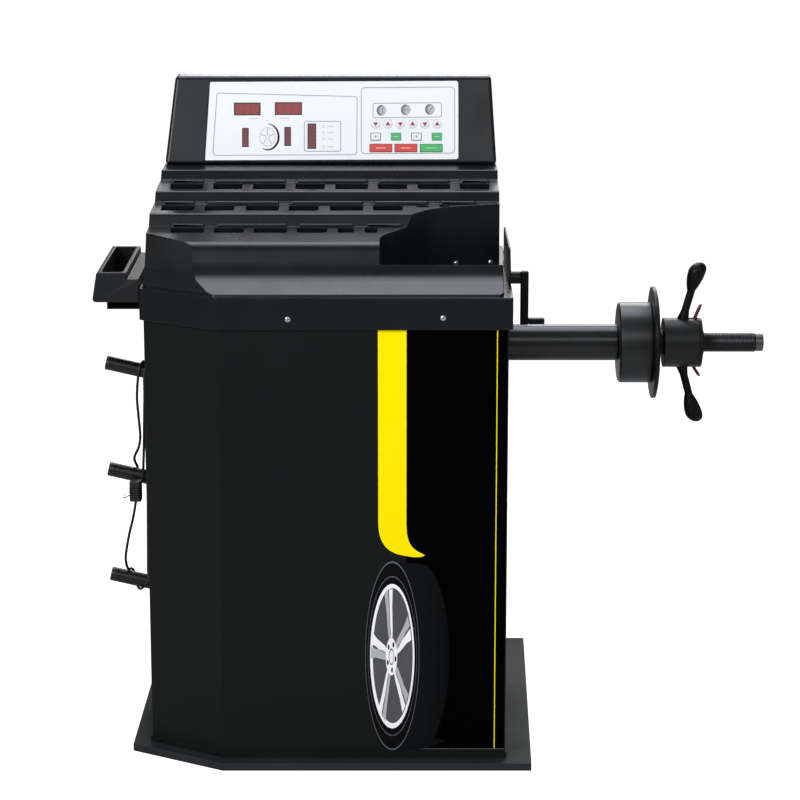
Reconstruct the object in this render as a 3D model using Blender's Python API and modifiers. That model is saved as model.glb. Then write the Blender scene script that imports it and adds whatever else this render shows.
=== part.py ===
"""Wheel balancer machine.

A sheet-metal cabinet on a flat base pan carries a moulded cover with a stepped weight tray, a console
with display and keys, a spindle with flange and quick nut, a rim distance gauge, an accessory tray and
three pegs that hold the mains lead. Metres, +Z up, front towards -Y, spindle along +X. The origin is on
the floor, under the centre of the whole machine's box.
"""
import math

import bmesh
import bpy
from mathutils import Matrix, Vector

GAP = 0.0003                      # left between parts that touch

# Cabinet, seen from above: X runs left to right, Y front to back, zero at the cabinet's middle
CAB_LEFT, CAB_RIGHT = -0.328, 0.325
CAB_FRONT, CAB_REAR = -0.2635, 0.2635
CHAMFER_X, CHAMFER_Y = 0.1375, 0.088
SHEET = 0.002
BASE_HEIGHT = 0.014
BASE_OUTLINE = [(-0.1905, -0.2965), (0.3715, -0.2965), (0.3895, 0.4365), (-0.3575, 0.4365),
                (-0.362, -0.1925)]
SHELL_TOP = 0.850

# Moulded cover
SKIRT_BOTTOM, SKIRT_TOP, SKIRT_OUT = 0.8125, 0.870, 0.007
HUMP_TOP = 1.0455
HUMP_FRONT, HUMP_REAR = -0.2615, 0.2615
HUMP_LEFT_FRONT, HUMP_LEFT_REAR = -0.3285, -0.3125
HUMP_RIGHT_FRONT, HUMP_RIGHT_REAR = 0.3165, 0.3145
TRAY_ROWS = [  # front edge Y, front edge Z, first pocket X, pocket pair pitch, number of pairs
    (-0.1565, 0.955, -0.2815, 0.1500, 2),
    (-0.0765, 0.988, -0.3025, 0.1540, 3),
    (0.0035, 1.017, -0.2915, 0.1525, 4),
]
SHORT_POCKETS = [  # beside the cut-away corner: row, X, width, distance back from the row's front edge
    (0, 0.0212, 0.0270, 0.0365), (0, 0.0700, 0.0210, 0.0365),
    (1, 0.1636, 0.0210, 0.0385), (1, 0.2056, 0.0150, 0.0385),
]
CHAMFER_SECTION = [  # of the hump's cut corner: distance in from the skirt's edge, height
    (0, 0.8715), (0.010, 0.8815), (0.024, 0.8905), (0.035, 0.905), (0.042, 0.920), (0.048, 0.940),
    (0.052, 0.955),
]
POCKET_WIDE, POCKET_NARROW, POCKET_SPACE = 0.059, 0.053, 0.0195
POCKET_SPANS = [(0.0365, 0.0645), (0.020, 0.051), (0.0145, 0.0475)]  # each row's pockets, behind its edge
POCKET_FLOOR = 0.012
CORNER_WALL = [(0.0967, -0.190), (0.0967, -0.150), (0.1045, -0.131), (0.1250, -0.110),
               (0.1520, -0.080), (0.1873, -0.050), (0.2250, -0.036), (0.2650, -0.0270), (0.3455, -0.0160)]
CORNER_FLOOR = 0.882

# Console head, tilted back
CONSOLE_FRONT, CONSOLE_BACK = 0.1526, 0.2535
CONSOLE_BOTTOM, CONSOLE_TOP = HUMP_TOP + GAP, 1.2075
CONSOLE_TOP_FRONT = 0.200
FACE_TILT = math.atan2(CONSOLE_TOP_FRONT - CONSOLE_FRONT, CONSOLE_TOP - HUMP_TOP)
FACE_RISE = 0.0087                # from the console's foot to the zero line of its face
FASCIA_LOOP = [(-0.237, -0.001), (0.2435, 0.001), (0.2435, 0.1515), (-0.228, 0.1495)]
FASCIA_THICK = 0.002
WINDOWS = {  # in the fascia: middle x, middle y, width, height
    "display_left": (-0.1570, 0.0973, 0.050, 0.0240), "display_right": (-0.0790, 0.0980, 0.051, 0.0240),
    "bar_left": (-0.1603, 0.0429, 0.0121, 0.0360), "bar_right": (-0.0803, 0.0448, 0.0121, 0.0360),
    "bar_mode": (-0.0345, 0.0454, 0.0158, 0.0480),
}
KEY_GAP = 0.0004
ARROW_KEY_R, SMALL_KEY, LARGE_KEY = 0.0082, (0.0188, 0.0145), (0.0425, 0.0155)
ARROW_KEYS = [(0.0863 + 0.02335 * i, 0.0687) for i in range(6)]
SMALL_KEYS = [(0.0863 + 0.0387 * i, 0.0445) for i in range(4)]
LARGE_KEYS = [(0.0963, 0.0228), (0.1437, 0.0228), (0.1917, 0.0228)]

# Spindle line
AXIS_Z = 0.734
TUBE_R, TUBE_BORE, TUBE_START, TUBE_END = 0.03375, 0.026, 0.020, 0.5370
HUB_R, HUB_START, HUB_END = 0.075, 0.5373, 0.5989
FLANGE_R, FLANGE_START, FLANGE_END = 0.104, 0.5992, 0.6095
STUB_R, STUB_START, STUB_END = 0.018, 0.6098, 0.8087
RING_R, RING_START, RING_END = 0.0235, 0.6168, 0.6215
NUT_R, NUT_START, NUT_END = 0.0459, 0.6218, 0.6932
NUT_BORE = 0.0184
HANDLE_TIP = 0.1515
LEVER_X, LEVER_R = 0.6780, 0.0395
LEVER_REACH = {"upper": 0.0330, "lower": 0.0250}
SPINDLE_LEFT = -0.045
PULLEY_R, MOTOR_PULLEY_R, PULLEY_WIDTH, BELT = 0.075, 0.025, 0.020, 0.004
MOTOR_Z = 0.440

SWITCH = (0.290, CAB_REAR, 0.700)
LOUVRE_ROWS, LOUVRE_PITCH, LOUVRE_LOW = 5, 0.030, 0.220

# Rim distance gauge
GAUGE_Y, GAUGE_Z, GAUGE_R = 0.1335, 0.832, 0.012
GAUGE_ARM_X, GAUGE_ARM_WIDTH, GAUGE_ARM_DROP = 0.3697, 0.0155, 0.095

# Pegs and mains lead
PEG_HEIGHTS = {"top": 0.6755, "middle": 0.4706, "bottom": 0.265}
PEG_R, PEG_TILT, PEG_REACH = 0.01335, math.radians(13.0), 0.0885
LEAD_R = 0.0026
TURN_SHARE = 0.060                # metres of lead that one radian of bend counts as when points are shared
LEAD_EXIT = (-0.262, 0.3045, 0.105)
LEAD_FLOOR = BASE_HEIGHT + LEAD_R + 0.0004
PLUG_AT = (-0.3625, -0.0375, 0.4585)

CENTRE_X = (-0.4195 + STUB_END) / 2
CENTRE_Y = (BASE_OUTLINE[0][1] + BASE_OUTLINE[2][1]) / 2

BLACK_COAT = ((0.022, 0.024, 0.026), 0.45, 0.0)
BLACK_PLASTIC = ((0.030, 0.032, 0.035), 0.42, 0.0)
BLACK_OXIDE = ((0.020, 0.021, 0.023), 0.38, 0.7)
STEEL = ((0.55, 0.56, 0.58), 0.30, 1.0)
WHITE = ((0.80, 0.81, 0.82), 0.40, 0.0)
RED = ((0.70, 0.05, 0.04), 0.40, 0.0)
GREEN = ((0.05, 0.45, 0.12), 0.40, 0.0)
DARK_RED = ((0.20, 0.012, 0.015), 0.20, 0.0)
LEAD_RUBBER = ((0.012, 0.012, 0.013), 0.5, 0.0)
BELT_RUBBER = ((0.015, 0.015, 0.015), 0.8, 0.0)


# ---------------------------------------------------------------- scene and small tools

def clear_scene():
    for thing in list(bpy.data.objects):
        bpy.data.objects.remove(thing, do_unlink=True)


def collection(name):
    made = bpy.data.collections.new(name)
    bpy.context.scene.collection.children.link(made)
    return made


def empty(name, location, parent=None, rotation=(0, 0, 0)):
    made = bpy.data.objects.new(name, None)
    made.location = location
    made.rotation_euler = rotation
    made.parent = parent
    PARTS.objects.link(made)
    return made


def finish(name, look):
    colour, roughness, metallic = look
    made = bpy.data.materials.new(name)
    made.use_nodes = True
    shader = made.node_tree.nodes["Principled BSDF"]
    shader.inputs["Base Color"].default_value = (*colour, 1)
    shader.inputs["Roughness"].default_value = roughness
    shader.inputs["Metallic"].default_value = metallic
    return made


def part(name, mesh, look, parent, location=(0, 0, 0), rotation=(0, 0, 0)):
    """One named sub-part with its own material."""
    made = bpy.data.objects.new(name, mesh)
    mesh.materials.clear()
    mesh.materials.append(finish(name, look))
    made.location = location
    made.rotation_euler = rotation
    made.parent = parent
    PARTS.objects.link(made)
    return made


def combine(target, mesh, operation="DIFFERENCE", location=(0, 0, 0), rotation=(0, 0, 0), parent=None):
    """Boolean on target with a hidden cutter; the cutter sits in target's frame unless a parent is given."""
    cutter = bpy.data.objects.new(target.name + "_cut", mesh)
    cutter.location = location
    cutter.rotation_euler = rotation
    cutter.parent = parent or target
    cutter.hide_render = True
    cutter.display_type = "WIRE"
    CUTTERS.objects.link(cutter)
    modifier = target.modifiers.new(operation.title(), "BOOLEAN")
    modifier.operation = operation
    modifier.solver = "EXACT"
    modifier.object = cutter
    return cutter


def bevel(target, width, segments=2, angle=40):
    modifier = target.modifiers.new("Rounded edges", "BEVEL")
    modifier.width = width
    modifier.segments = segments
    modifier.limit_method = "ANGLE"
    modifier.angle_limit = math.radians(angle)


def mesh_from(bm, name):
    bmesh.ops.recalc_face_normals(bm, faces=bm.faces)
    mesh = bpy.data.meshes.new(name)
    bm.to_mesh(mesh)
    bm.free()
    return mesh


def box(size, centre=(0, 0, 0), turn=0.0):
    """Box, turned about Y through its centre."""
    bm = bmesh.new()
    place = Matrix.Translation(centre) @ Matrix.Rotation(turn, 4, "Y") @ Matrix.Diagonal((*size, 1))
    bmesh.ops.create_cube(bm, size=1, matrix=place)
    return mesh_from(bm, "box")


def between(low, high):
    """Box from its low corner to its high corner."""
    size = [b - a for a, b in zip(low, high)]
    return box(size, [(a + b) / 2 for a, b in zip(low, high)])


def boxes(corner_pairs):
    """Several separate boxes in one mesh."""
    bm = bmesh.new()
    for low, high in corner_pairs:
        size = [b - a for a, b in zip(low, high)]
        centre = [(a + b) / 2 for a, b in zip(low, high)]
        bmesh.ops.create_cube(bm, size=1, matrix=Matrix.Translation(centre) @ Matrix.Diagonal((*size, 1)))
    return mesh_from(bm, "boxes")


def rod(radius, low, high, segments=32, axis="Z", at=(0, 0)):
    """Cylinder along an axis from low to high; at gives its place on the other two axes, in order."""
    bm = bmesh.new()
    turn = {"X": Matrix.Rotation(math.pi / 2, 4, "Y"), "Y": Matrix.Rotation(-math.pi / 2, 4, "X"),
            "Z": Matrix.Identity(4)}[axis]
    middle = (low + high) / 2
    centre = {"X": (middle, *at), "Y": (at[0], middle, at[1]), "Z": (*at, middle)}[axis]
    bmesh.ops.create_cone(bm, cap_ends=True, segments=segments, radius1=radius, radius2=radius,
                          depth=high - low, matrix=Matrix.Translation(centre) @ turn)
    mesh = mesh_from(bm, "rod")
    mesh.shade_smooth()
    mesh.set_sharp_from_angle(angle=math.radians(40))
    return mesh


def slab(loops, low, high):
    """Flat plate from z low to high; the first loop is the outline, the others are holes."""
    curve = bpy.data.curves.new("outline", "CURVE")
    curve.dimensions = "2D"
    curve.fill_mode = "BOTH"
    curve.extrude = (high - low) / 2
    for loop in loops:
        spline = curve.splines.new("POLY")
        spline.points.add(len(loop) - 1)
        for point, (x, y) in zip(spline.points, loop):
            point.co = (x, y, 0, 1)
        spline.use_cyclic_u = True
    holder = bpy.data.objects.new("outline", curve)
    bpy.context.scene.collection.objects.link(holder)
    filled = bpy.data.meshes.new_from_object(holder.evaluated_get(bpy.context.evaluated_depsgraph_get()))
    bpy.data.objects.remove(holder, do_unlink=True)
    bm = bmesh.new()
    bm.from_mesh(filled)
    bmesh.ops.remove_doubles(bm, verts=bm.verts, dist=1e-6)
    bmesh.ops.translate(bm, verts=bm.verts, vec=(0, 0, (low + high) / 2))
    return mesh_from(bm, "slab")


def bar(loops, low, high, axis):
    """Slab stood up: its outline is (Y, Z) and it runs along X, or (X, Z) and it runs along Y."""
    mesh = slab(loops, low, high)
    rows = {"X": ((0, 0, 1), (1, 0, 0), (0, 1, 0)), "Y": ((1, 0, 0), (0, 0, 1), (0, 1, 0))}[axis]
    mesh.transform(Matrix(rows).to_4x4())
    bm = bmesh.new()
    bm.from_mesh(mesh)
    return mesh_from(bm, "bar")


def ring_loop(radius, count, centre=(0, 0)):
    return [(centre[0] + radius * math.cos(2 * math.pi * i / count),
             centre[1] + radius * math.sin(2 * math.pi * i / count)) for i in range(count)]


def inset(loop, distance):
    """Loop moved inwards by distance, or outwards if negative, with mitred corners."""
    area = sum(a[0] * b[1] - b[0] * a[1] for a, b in zip(loop, loop[1:] + loop[:1]))
    side = math.copysign(1.0, area)
    moved = []
    for i, here in enumerate(loop):
        before = (Vector(here) - Vector(loop[i - 1])).normalized()
        after = (Vector(loop[(i + 1) % len(loop)]) - Vector(here)).normalized()
        normal = Vector((-before.y - after.y, before.x + after.x)).normalized() * side
        reach = distance / normal.dot(Vector((-before.y, before.x)) * side)
        moved.append(tuple(Vector(here) + normal * reach))
    return moved


def turned_part(name, profile, look, parent, steps=48, closed=False, rotation=(0, math.pi / 2, 0),
                location=(0, 0, 0)):
    """Sub-part turned from (radius, height) points that run down its outer side.

    Its axis lies along the parent's X unless another rotation is given.
    """
    mesh = bpy.data.meshes.new(name)
    count = len(profile)
    edges = [(i, i + 1) for i in range(count - 1)] + ([(count - 1, 0)] if closed else [])
    mesh.from_pydata([(radius, 0, height) for radius, height in profile], edges, [])
    made = part(name, mesh, look, parent, location, rotation)
    screw = made.modifiers.new("Turn", "SCREW")
    screw.angle = 2 * math.pi
    screw.steps = steps
    screw.render_steps = steps
    screw.use_merge_vertices = True
    screw.merge_threshold = 0.00001
    screw.use_smooth_shade = True
    return made


def swept(name, points, radii, look, parent, resolution=3):
    """Round bar along points, with a radius at each point."""
    curve = bpy.data.curves.new(name, "CURVE")
    curve.dimensions = "3D"
    curve.bevel_depth = 1.0
    curve.bevel_resolution = resolution
    curve.use_fill_caps = True
    spline = curve.splines.new("POLY")
    spline.points.add(len(points) - 1)
    for point, place, radius in zip(spline.points, points, radii):
        point.co = (*place, 1)
        point.radius = radius
    made = bpy.data.objects.new(name, curve)
    curve.materials.append(finish(name, look))
    made.parent = parent
    PARTS.objects.link(made)
    return made


def as_mesh(bar_curve):
    """The same sub-part as a mesh with its caps welded, so that it can be cut."""
    evaluated = bar_curve.evaluated_get(bpy.context.evaluated_depsgraph_get())
    filled = bpy.data.meshes.new_from_object(evaluated)
    bm = bmesh.new()
    bm.from_mesh(filled)
    bmesh.ops.remove_doubles(bm, verts=bm.verts, dist=1e-6)
    name, parent, look = bar_curve.name, bar_curve.parent, bar_curve.data.materials[0]
    bpy.data.objects.remove(bar_curve, do_unlink=True)
    made = bpy.data.objects.new(name, mesh_from(bm, name))
    made.data.materials.append(look)
    made.parent = parent
    PARTS.objects.link(made)
    return made


# ---------------------------------------------------------------- cabinet

def cabinet_loop():
    return [(CAB_LEFT + CHAMFER_X, CAB_FRONT), (CAB_RIGHT, CAB_FRONT), (CAB_RIGHT, CAB_REAR),
            (CAB_LEFT, CAB_REAR), (CAB_LEFT, CAB_FRONT + CHAMFER_Y)]


def make_base():
    """Folded pan: top plate, lip all round and three anchor pads with holes."""
    lip, plate, pad_r, hole_r = 0.004, 0.003, 0.032, 0.0065
    pads = [(-0.27, 0.36), (0.28, 0.36), (0.02, -0.19)]
    base = part("base_pan", slab([BASE_OUTLINE], 0, BASE_HEIGHT), BLACK_COAT, FRAME)
    hollow = [inset(BASE_OUTLINE, lip)] + [ring_loop(pad_r, 24, pad) for pad in pads]
    combine(base, slab(hollow, -0.01, BASE_HEIGHT - plate))
    for pad in pads:
        combine(base, rod(hole_r, -0.01, BASE_HEIGHT + 0.01, 20, "Z", pad))
    return base


def make_cabinet():
    """Wrapped sheet with a foot flange and band, openings for spindle, gauge and rear panel."""
    low, band, flange = BASE_HEIGHT + GAP, 0.010, 0.022
    cut_in, cut_out = CAB_REAR - 0.01, CAB_REAR + 0.01
    outline = cabinet_loop()
    shell = part("cabinet_shell", slab([outline, inset(outline, SHEET)], low, SHELL_TOP), BLACK_COAT, FRAME)
    foot = slab([inset(outline, -0.0025), inset(outline, 0.001)], low, low + band)
    combine(shell, foot, "UNION")
    combine(shell, slab([inset(outline, 0.001), inset(outline, flange)], low, low + SHEET), "UNION")
    combine(shell, rod(TUBE_R + 0.0006, CAB_RIGHT - 0.02, CAB_RIGHT + 0.02, 48, "X", (0, AXIS_Z)))
    combine(shell, rod(0.0186, CAB_RIGHT - 0.02, CAB_RIGHT + 0.02, 32, "X", (GAUGE_Y, GAUGE_Z)))
    combine(shell, between((-0.25, cut_in, 0.16), (0.25, cut_out, 0.76)))
    combine(shell, rod(0.0085, cut_in, cut_out, 24, "Y", (LEAD_EXIT[0], LEAD_EXIT[2])))
    x, _, z = SWITCH
    half_x, half_z = 0.0108, 0.0148
    combine(shell, between((x - half_x, cut_in, z - half_z), (x + half_x, cut_out, z + half_z)))


def make_rear_panel():
    """Removable panel over the rear opening, with two columns of louvre slots."""
    y = CAB_REAR + GAP
    panel = part("rear_panel", between((-0.27, y, 0.14), (0.27, y + 0.0015, 0.78)), BLACK_COAT, FRAME)
    slots = []
    for i in range(LOUVRE_ROWS):
        low = LOUVRE_LOW + LOUVRE_PITCH * i
        slots += [((x, y - 0.01, low), (x + 0.09, y + 0.01, low + 0.008)) for x in (-0.16, 0.07)]
    combine(panel, boxes(slots))


def make_pedestal_and_motor():
    """Square column that holds the spindle housing, and the motor that drives the spindle by belt."""
    left, right, half, wall = 0.160, 0.270, 0.070, 0.006
    outer = [(left, -half), (right, -half), (right, half), (left, half)]
    low, high = BASE_HEIGHT + SHEET + 2 * GAP, AXIS_Z + 0.058
    column = part("spindle_pedestal", slab([outer, inset(outer, wall)], low, high), BLACK_COAT, FRAME)
    combine(column, rod(TUBE_R + GAP, left - 0.02, right + 0.02, 48, "X", (0, AXIS_Z)))

    end, plate_y, plate_z = left - GAP, 0.065, 0.075
    body = rod(0.060, 0.028, end - 0.005, 32, "X", (0, MOTOR_Z))
    motor = part("drive_motor", body, BLACK_OXIDE, FRAME)
    plate = between((end - 0.008, -plate_y, MOTOR_Z - plate_z), (end, plate_y, MOTOR_Z + plate_z))
    combine(motor, plate, "UNION")
    combine(motor, rod(0.0075, 0.0, 0.060, 24, "X", (0, MOTOR_Z)))


def pulley_profile(radius, bore):
    """Flanged flat pulley, closed profile about its own axis, centred at zero."""
    half, cheek, rise = PULLEY_WIDTH / 2, 0.003, 0.005
    outer = [(radius + rise, half + cheek), (radius + rise, half), (radius, half), (radius, -half),
             (radius + rise, -half), (radius + rise, -half - cheek)]
    inner = [(bore, -half - cheek), (bore, half + cheek)] if bore else [(0, -half - cheek)]
    return ([] if bore else [(0, half + cheek)]) + outer + inner


def make_belt():
    """Belt ring round both pulleys, as two arcs joined by their outer tangents."""
    distance = AXIS_Z - MOTOR_Z
    lean = math.asin((PULLEY_R - MOTOR_PULLEY_R) / distance)

    def loop(extra):
        points = []
        for i in range(25):
            angle = -lean + (math.pi + 2 * lean) * i / 24
            reach = PULLEY_R + extra
            points.append((reach * math.cos(angle), AXIS_Z + reach * math.sin(angle)))
        for i in range(17):
            angle = math.pi + lean + (math.pi - 2 * lean) * i / 16
            reach = MOTOR_PULLEY_R + extra
            points.append((reach * math.cos(angle), MOTOR_Z + reach * math.sin(angle)))
        return points

    half = PULLEY_WIDTH / 2 - GAP
    belt = bar([loop(GAP * 2 + BELT), loop(GAP * 2)], -half, half, "X")
    part("drive_belt", belt, BELT_RUBBER, FRAME)


# ---------------------------------------------------------------- moulded cover

def cover_profile():
    """Outer section (Y, Z) from the front foot of the hump over the stepped tray to the rear."""
    points = [(HUMP_FRONT, SKIRT_TOP - 0.004), (HUMP_FRONT, 0.8715), (-0.2400, 0.8815), (-0.2150, 0.8905),
              (-0.1965, 0.8965), (-0.1895, 0.9050), (-0.1835, 0.9380), (-0.1770, 0.9470)]
    for front, height, _, _, _ in TRAY_ROWS:
        points += [(front, height), (front + 0.070, height + 0.012)]
    ridge = TRAY_ROWS[-1][0] + 0.082
    return points + [(ridge, HUMP_TOP), (HUMP_REAR, HUMP_TOP), (HUMP_REAR, SKIRT_TOP - 0.004)]


def hump_plan():
    """Plan of the hump: tapered sides and the front-left chamfer, just inside the skirt's edge."""
    chamfer = inset(cabinet_loop(), -SKIRT_OUT + 0.006)
    slope = CHAMFER_Y / CHAMFER_X
    corner_x = chamfer[0][0] + (chamfer[0][1] - HUMP_FRONT) / slope
    left_y = chamfer[0][1] + slope * (chamfer[0][0] - HUMP_LEFT_FRONT)
    return [(corner_x, HUMP_FRONT), (HUMP_RIGHT_FRONT, HUMP_FRONT), (HUMP_RIGHT_REAR, HUMP_REAR),
            (HUMP_LEFT_REAR, HUMP_REAR), (HUMP_LEFT_REAR, 0.10), (HUMP_LEFT_FRONT, left_y)]


def corner_block(shrink=0.0):
    """Everything behind the hump's cut front-left corner, which leans back as it rises."""
    rise = [(inward + shrink, height - shrink * 0.6) for inward, height in CHAMFER_SECTION]
    section = [(rise[0][0], 0.80), *rise, (rise[-1][0], 1.20), (0.90, 1.20), (0.90, 0.80)]
    block = bar([section], -0.9, 0.9, "X")
    block.transform(Matrix.Rotation(-math.atan2(CHAMFER_Y, CHAMFER_X), 4, "Z"))
    x, y = inset(cabinet_loop(), -SKIRT_OUT + 0.0005)[0]
    block.transform(Matrix.Translation((x, y, 0)))
    return block


def pockets():
    """Low and high corners of every weight pocket that clears the cut-away corner."""
    found = []
    for (front, height, start, pitch, pairs), (near, far) in zip(TRAY_ROWS, POCKET_SPANS):
        for pair in range(pairs):
            wide = start + pitch * pair
            narrow = wide + POCKET_WIDE + POCKET_SPACE
            for low_x, width in ((wide, POCKET_WIDE), (narrow, POCKET_NARROW)):
                low = (low_x, front + near, height - POCKET_FLOOR)
                found.append((low, (low_x + width, front + far, height + 0.030)))
    for row, low_x, width, setback in SHORT_POCKETS:
        front, height = TRAY_ROWS[row][:2]
        low = (low_x, front + setback, height - POCKET_FLOOR)
        found.append((low, (low_x + width, front + POCKET_SPANS[row][1], height + 0.030)))
    return found


def make_cover():
    """Skirt, hump with stepped tray, cut-away right corner, pockets, and the hollow underneath."""
    skirt_loop = inset(cabinet_loop(), -SKIRT_OUT)
    cover = part("top_cover", slab([skirt_loop], SKIRT_BOTTOM, SKIRT_TOP), BLACK_PLASTIC, FRAME)
    hump = combine(cover, bar([cover_profile()], -0.36, 0.36, "X"), "UNION")
    combine(hump, slab([hump_plan()], 0.80, 1.20), "INTERSECT")
    combine(hump, corner_block(), "INTERSECT")

    guard = [(-0.170, 0.860), (0.095, 0.860), (0.095, 0.937), (-0.135, 0.937), (-0.165, 0.905)]
    combine(cover, bar([guard], 0.3275, 0.3315, "X"), "UNION")

    recess = [(-0.1970, 0.8970), (-0.1600, 0.9050), (-0.1565, 0.9050), (-0.1545, CORNER_FLOOR),
              (0.010, CORNER_FLOOR), (0.010, 1.060), (-0.1970, 1.060)]
    corner = combine(cover, bar([recess], 0.090, 0.3260, "X"))
    wall = [(0.0967, -0.300), *CORNER_WALL, (0.3455, -0.300)]
    combine(corner, slab([wall], 0.85, 1.10), "INTERSECT")

    combine(cover, slab([inset(cabinet_loop(), -0.0006)], 0.80, SHELL_TOP + GAP))
    inner = [(-0.250, 0.840), (-0.250, 0.866), (-0.188, 0.889), (-0.174, 0.936), (-0.078, 0.936),
             (-0.068, 0.970), (0.002, 0.970), (0.012, 0.999), (0.083, 0.999), (0.098, 1.034),
             (0.250, 1.034), (0.250, 0.840)]
    hollow = combine(cover, bar([inner], -0.34, 0.0907, "X"))
    combine(hollow, slab([inset(hump_plan(), 0.008)], 0.80, 1.10), "INTERSECT")
    combine(hollow, corner_block(0.010), "INTERSECT")
    rear = [(0.016, 0.840), (0.016, 0.999), (0.083, 0.999), (0.098, 1.034), (0.250, 1.034),
            (0.250, 0.840)]
    combine(cover, bar([rear], 0.0900, 0.3060, "X"))
    combine(cover, between((0.0880, -0.245, 0.840), (0.3060, 0.0170, CORNER_FLOOR - 0.005)))
    combine(cover, boxes(pockets()))
    combine(cover, rod(0.0183, 0.30, 0.36, 32, "X", (GAUGE_Y, GAUGE_Z)))
    return cover


def make_screws():
    """Dome-headed screws on the skirt and on the wall of the cut-away corner."""
    def screw(name, radius, height, location, turn=0.0):
        angles = [math.pi / 2 * i / 5 for i in range(6)]
        dome = [(radius * math.sin(a), height * math.cos(a)) for a in angles] + [(0, 0)]
        turned_part(name, dome, STEEL, FRAME, 20, rotation=(math.pi / 2, 0, turn), location=location)

    front = CAB_FRONT - SKIRT_OUT - GAP
    screw("cover_screw_left", 0.0055, 0.0030, (-0.065, front, 0.832))
    screw("cover_screw_right", 0.0055, 0.0030, (0.2085, front, 0.8345))
    for name, x in (("tray_screw_left", 0.2365), ("tray_screw_right", 0.300)):
        wall_y, turn = corner_wall_at(x)
        screw(name, 0.0045, 0.0026, (x, wall_y - 2 * GAP, 0.890), turn)


def corner_wall_at(x):
    """Y of the cut-away corner's wall at x, and the wall's direction there."""
    for (x0, y0), (x1, y1) in zip(CORNER_WALL, CORNER_WALL[1:]):
        if x0 <= x < x1:
            return y0 + (y1 - y0) * (x - x0) / (x1 - x0), math.atan2(y1 - y0, x1 - x0)
    raise ValueError("x is outside the wall")


# ---------------------------------------------------------------- console

def tapered(front, back, low, high, half_low, half_high, shrink=0.0):
    """Console block: a box whose front leans back and whose sides draw in towards the top."""
    bm = bmesh.new()
    bmesh.ops.create_cube(bm, size=2)
    for vert in bm.verts:
        top = vert.co.z > 0
        centre, half = half_high if top else half_low
        x = centre + math.copysign(half - shrink, vert.co.x)
        y = (front[1] if top else front[0]) + shrink if vert.co.y < 0 else back
        vert.co = (x, y, high if top else low)
    return mesh_from(bm, "block")


def make_console():
    """Hollow head open at the back, its back plate, and the white fascia with display windows."""
    sides = (0.0015, 0.3140), (0.0060, 0.2995)
    block = tapered((CONSOLE_FRONT, CONSOLE_TOP_FRONT), CONSOLE_BACK, CONSOLE_BOTTOM, CONSOLE_TOP, *sides)
    head = part("console_head", block, BLACK_PLASTIC, FRAME)
    bevel(head, 0.007, 3, 60)
    wall = 0.005
    combine(head, tapered((CONSOLE_FRONT + 0.004, CONSOLE_TOP_FRONT + 0.002), CONSOLE_BACK + 0.02,
                          CONSOLE_BOTTOM + wall, CONSOLE_TOP - wall, *sides, 0.006))
    recess = inset(FASCIA_LOOP, -0.0012)
    combine(head, slab([recess], -0.003, 0.02), parent=FACE)
    margin, plate = 0.0075, 0.003
    inner_face = CONSOLE_BACK - 0.0005 - plate - margin
    back = tapered((inner_face, inner_face), CONSOLE_BACK - 0.0005, CONSOLE_BOTTOM + 0.006,
                   CONSOLE_TOP - 0.006, *sides, margin)
    part("console_back", back, BLACK_PLASTIC, FRAME)

    make_fascia()


def make_fascia():
    """White sheet in the console's recess, with the display and bar windows let into it."""
    low = -0.003 + GAP
    holes = [key_loop("arrow", at, KEY_GAP) for at in ARROW_KEYS]
    holes += [key_loop("small", at, KEY_GAP) for at in SMALL_KEYS]
    holes += [key_loop("large", at, KEY_GAP) for at in LARGE_KEYS]
    for x, y, width, height in WINDOWS.values():
        holes.append(rectangle(x, y, width + 2 * GAP, height + 2 * GAP))
    part("fascia_panel", slab([FASCIA_LOOP] + holes, low, low + FASCIA_THICK), WHITE, FACE)
    for name, (x, y, width, height) in WINDOWS.items():
        part(name, slab([rectangle(x, y, width, height)], low, low + FASCIA_THICK - 0.0004), DARK_RED, FACE)


def rectangle(x, y, width, height):
    return [(x - width / 2, y - height / 2), (x + width / 2, y - height / 2),
            (x + width / 2, y + height / 2), (x - width / 2, y + height / 2)]


def key_loop(kind, at, grow=0.0):
    """Outline of a key, grown all round for the hole that it moves in."""
    if kind == "arrow":
        return ring_loop(ARROW_KEY_R + grow, 16, at)
    width, height = {"small": SMALL_KEY, "large": LARGE_KEY}[kind]
    return rectangle(at[0], at[1], width + 2 * grow, height + 2 * grow)


def make_keys():
    """Thirteen sprung keys that stand 1 mm proud and travel 0.6 mm into the console."""
    low, high = -0.0022, FASCIA_THICK - 0.003 + GAP + 0.0010
    groups = [("arrow", ARROW_KEYS, [RED]), ("small", SMALL_KEYS, [WHITE, GREEN, WHITE, GREEN]),
              ("large", LARGE_KEYS, [RED, RED, GREEN])]
    for kind, places, looks in groups:
        for index, at in enumerate(places):
            local = [(x - at[0], y - at[1]) for x, y in key_loop(kind, at)]
            holder = empty(f"key_{kind}_{index + 1}_slide", (at[0], at[1], 0), FACE)
            look = looks[index % len(looks)]
            key = part(f"key_{kind}_{index + 1}", slab([local], low, high), look, holder)
            bevel(key, 0.0004, 1)


# ---------------------------------------------------------------- spindle and quick nut

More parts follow.
